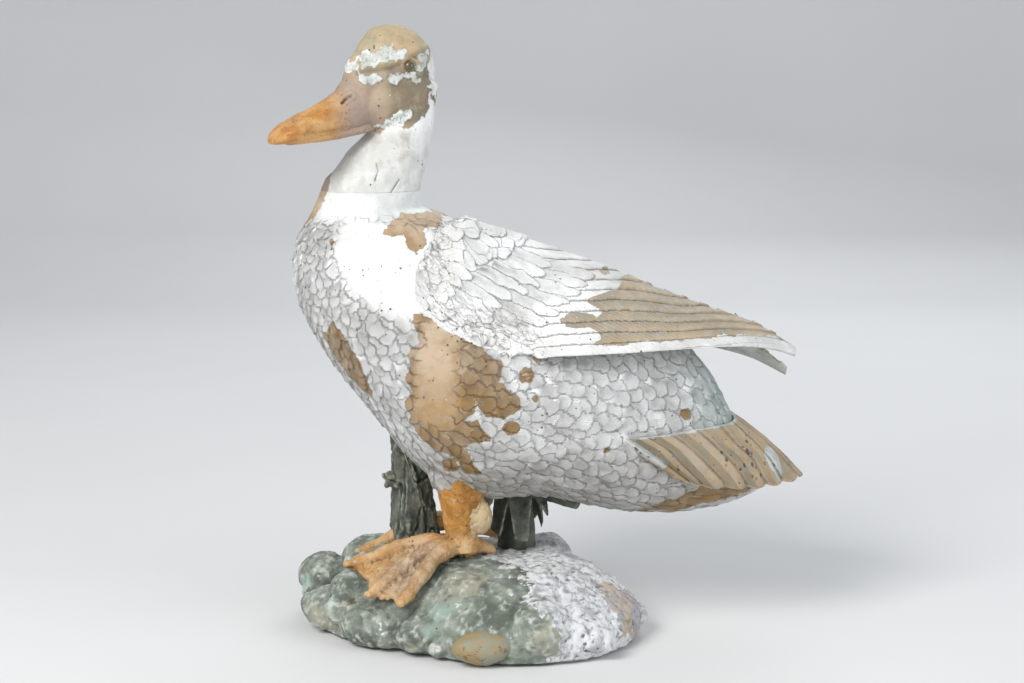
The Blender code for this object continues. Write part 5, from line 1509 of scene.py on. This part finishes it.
def bill(name, rows, upper):
    bm = bmesh.new()
    skin_over(bm, bill_rings(smooth_rows(rows, 22), 110, 0.6))
    obj = piece(name, bm)
    points, normals = points_of(obj), normals_of(obj)
    local = (points @ place[:3, :3].T + place[:3, 3]) * 1000
    fx, fy, fz = local.T
    share = (fx / 1000 - HEAD_LENGTH * 0.30) / BILL_LENGTH
    high = 0.00045 * rubble(points, 0.008, 111, 3) + 0.00012 * rubble(points, 0.002, 112, 2)
    slit = 0 * fx
    if upper:
        low_edge = np.interp(share, [row[0] for row in rows],
                             [row[2] for row in rows]) * BILL_WIDTH * 500
        lip = ease(4.0, 1.2, fz - low_edge) * ease(0.10, 0.30, share)
        high += 0.0008 * lip
        high -= (0.0007 * np.exp(-((fz - low_edge - 4.6) / 1.1) ** 2) * ease(0.15, 0.35, share)
                 * ease(0.97, 0.9, share))
        high -= (0.0009 * np.exp(-((np.abs(fy) - 6.0) / 2.2) ** 2) * ease(0.30, 0.5, share)
                 * ease(0.95, 0.8, share) * (normals[:, 2] > 0.2))
        nostril = stroke(near_cheek(local), NOSTRIL)
        slit = ease(1.2, 0.5, nostril) * (np.abs(fy) > 4)
        high -= 0.0016 * slit
        high += 0.0005 * np.exp(-((nostril - 2.2) / 0.7) ** 2) * (np.abs(fy) > 4)
    move_points(obj, points + normals * high[:, None])
    # The nostril slits are added to the hollows, to be darkened as painted shade.
    record(obj, hollow=np.clip(hollows(obj, 3, 0.0004) + slit * 1.5, -1, 1), share=np.clip(share, 0, 1),
           dent=ease(0.25, 0.60, lumps(points, 0.006, 113)) * ease(0.72, 0.85, share))
    return obj


bill_paint, tree, shader = blank("orange_paint_bill")
where = add(tree, "ShaderNodeTexCoord").outputs["Object"]
share = field(tree, "share")
tip_tone = mottled(tree, where, (90.0, 5.0), (0.38, 0.62), (0.46, 0.20, 0.045, 1),
                   (0.60, 0.335, 0.12, 1))
root_tone = mottled(tree, where, (90.0, 5.0), (0.40, 0.62), (0.47, 0.31, 0.20, 1),
                    (0.58, 0.42, 0.27, 1))
colour = mixed(tree,
               slope(tree, plus(tree, share, times(tree, noise(tree, where, 120.0), 0.25)), 0.20, 0.55),
               root_tone, tip_tone)
colour = mixed(tree,
               times(tree, slope(tree, plus(tree, share, times(tree, noise(tree, where, 150.0), 0.2)),
                                 0.66, 0.34), 0.85), colour, (0.37, 0.27, 0.21, 1))
colour = mixed(tree, times(tree, field(tree, "dent"), 0.6), colour, (0.22, 0.12, 0.10, 1))
specks = slope(tree, noise(tree, where, 650.0, 3.0, 0.6), 0.60, 0.68)
colour = mixed(tree, times(tree, specks, 0.55), colour, (0.20, 0.10, 0.04, 1))
raised = times(tree, slope(tree, field(tree, "hollow"), -0.12, -0.7),
               slope(tree, noise(tree, where, 220.0), 0.38, 0.60))
colour = mixed(tree, times(tree, raised, 0.35), colour, (0.72, 0.52, 0.30, 1))
# Darker in the hollows and nostrils: dirt and painted shade.
colour = grimed(tree, where, colour, 0.9, (0.12, 0.06, 0.03, 1))
surface(tree, shader, colour, 0.48,
        maths(tree, "SUBTRACT", noise(tree, where, 480.0, 4.0, 0.6), times(tree, specks, 0.5)), 0.00045)
fit(bill("upper_bill", UPPER_BILL, True), bill_paint, "orange_paint", "bill_upper")
fit(bill("lower_bill", LOWER_BILL, False), bill_paint, "orange_paint", "bill_lower")

# ------------------------------------------------------------------------------------------------
# eyes: a glass bead let into either side of the head, painted over in olive and ochre.
# ------------------------------------------------------------------------------------------------

eye_paint, tree, shader = blank("eye_bead")
where = add(tree, "ShaderNodeTexCoord").outputs["Object"]
iris = slope(tree, field(tree, "pupil"), 0.30, 0.42)
colour = mottled(tree, where, (500.0, 4.0), (0.40, 0.62), (0.16, 0.125, 0.055, 1),
                 (0.30, 0.235, 0.12, 1))
colour = mixed(tree, iris, (0.085, 0.066, 0.036, 1), colour)
colour = mixed(tree, slope(tree, field(tree, "pupil"), 0.80, 0.98), colour, (0.10, 0.08, 0.05, 1))
surface(tree, shader, colour, 0.28, noise(tree, where, 700.0, 3.0), 0.00015)
shader.inputs["Coat Weight"].default_value = 0.5
for name, node, cheek in (("bead_left", "eye_left", 1), ("bead_right", "eye_right", -1)):
    centre = head_frame @ Vector((HEAD_LENGTH * -0.04, cheek * HEAD_WIDTH * 0.405, HEAD_HEIGHT * 0.155))
    outward = (head_frame.to_3x3() @ Vector((0.25, cheek, 0.05))).normalized()
    bm = bmesh.new()
    ball(bm, centre, (EYE_RADIUS * 0.86,) * 3, 0.0, 48, 28)
    bead = piece(name, bm)
    facing = (points_of(bead) - np.array(centre)) @ np.array(outward) / EYE_RADIUS
    record(bead, pupil=1 - facing)
    fit(bead, eye_paint, "eye_bead", node)

# ------------------------------------------------------------------------------------------------
# The board under the base, its felt pads and the steel rods cast into the legs and the neck keep their
# own solid shapes.
# ------------------------------------------------------------------------------------------------


def dressed(name, dark, light, grain, roughness, metal=0.0):
    material, tree, shader = blank(name)
    where = add(tree, "ShaderNodeTexCoord").outputs["Object"]
    tone = noise(tree, where, grain, 6.0, 0.65)
    colour = mixed(tree, slope(tree, tone, 0.35, 0.65), dark, light)
    surface(tree, shader, colour, between(tree, tone, roughness - 0.1, roughness + 0.1), tone, 0.0003)
    shader.inputs["Metallic"].default_value = metal
    return material


finishes = {
    "base_board": dressed("board", (0.20, 0.125, 0.065, 1), (0.34, 0.23, 0.13, 1), 220.0, 0.8),
    "felt_pad": dressed("felt", (0.05, 0.05, 0.05, 1), (0.12, 0.12, 0.12, 1), 900.0, 0.88),
    "rod": dressed("steel_rod", (0.22, 0.21, 0.20, 1), (0.36, 0.35, 0.33, 1), 300.0, 0.42, 1.0),
}
for name, node in frame["nodes"].items():
    for part, material in finishes.items():
        if part in name:
            node.data.materials.clear()
            node.data.materials.append(material)

sizes = {"cad": [list(corner) for corner in cad_box],
         "visual": [list(corner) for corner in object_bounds()]}
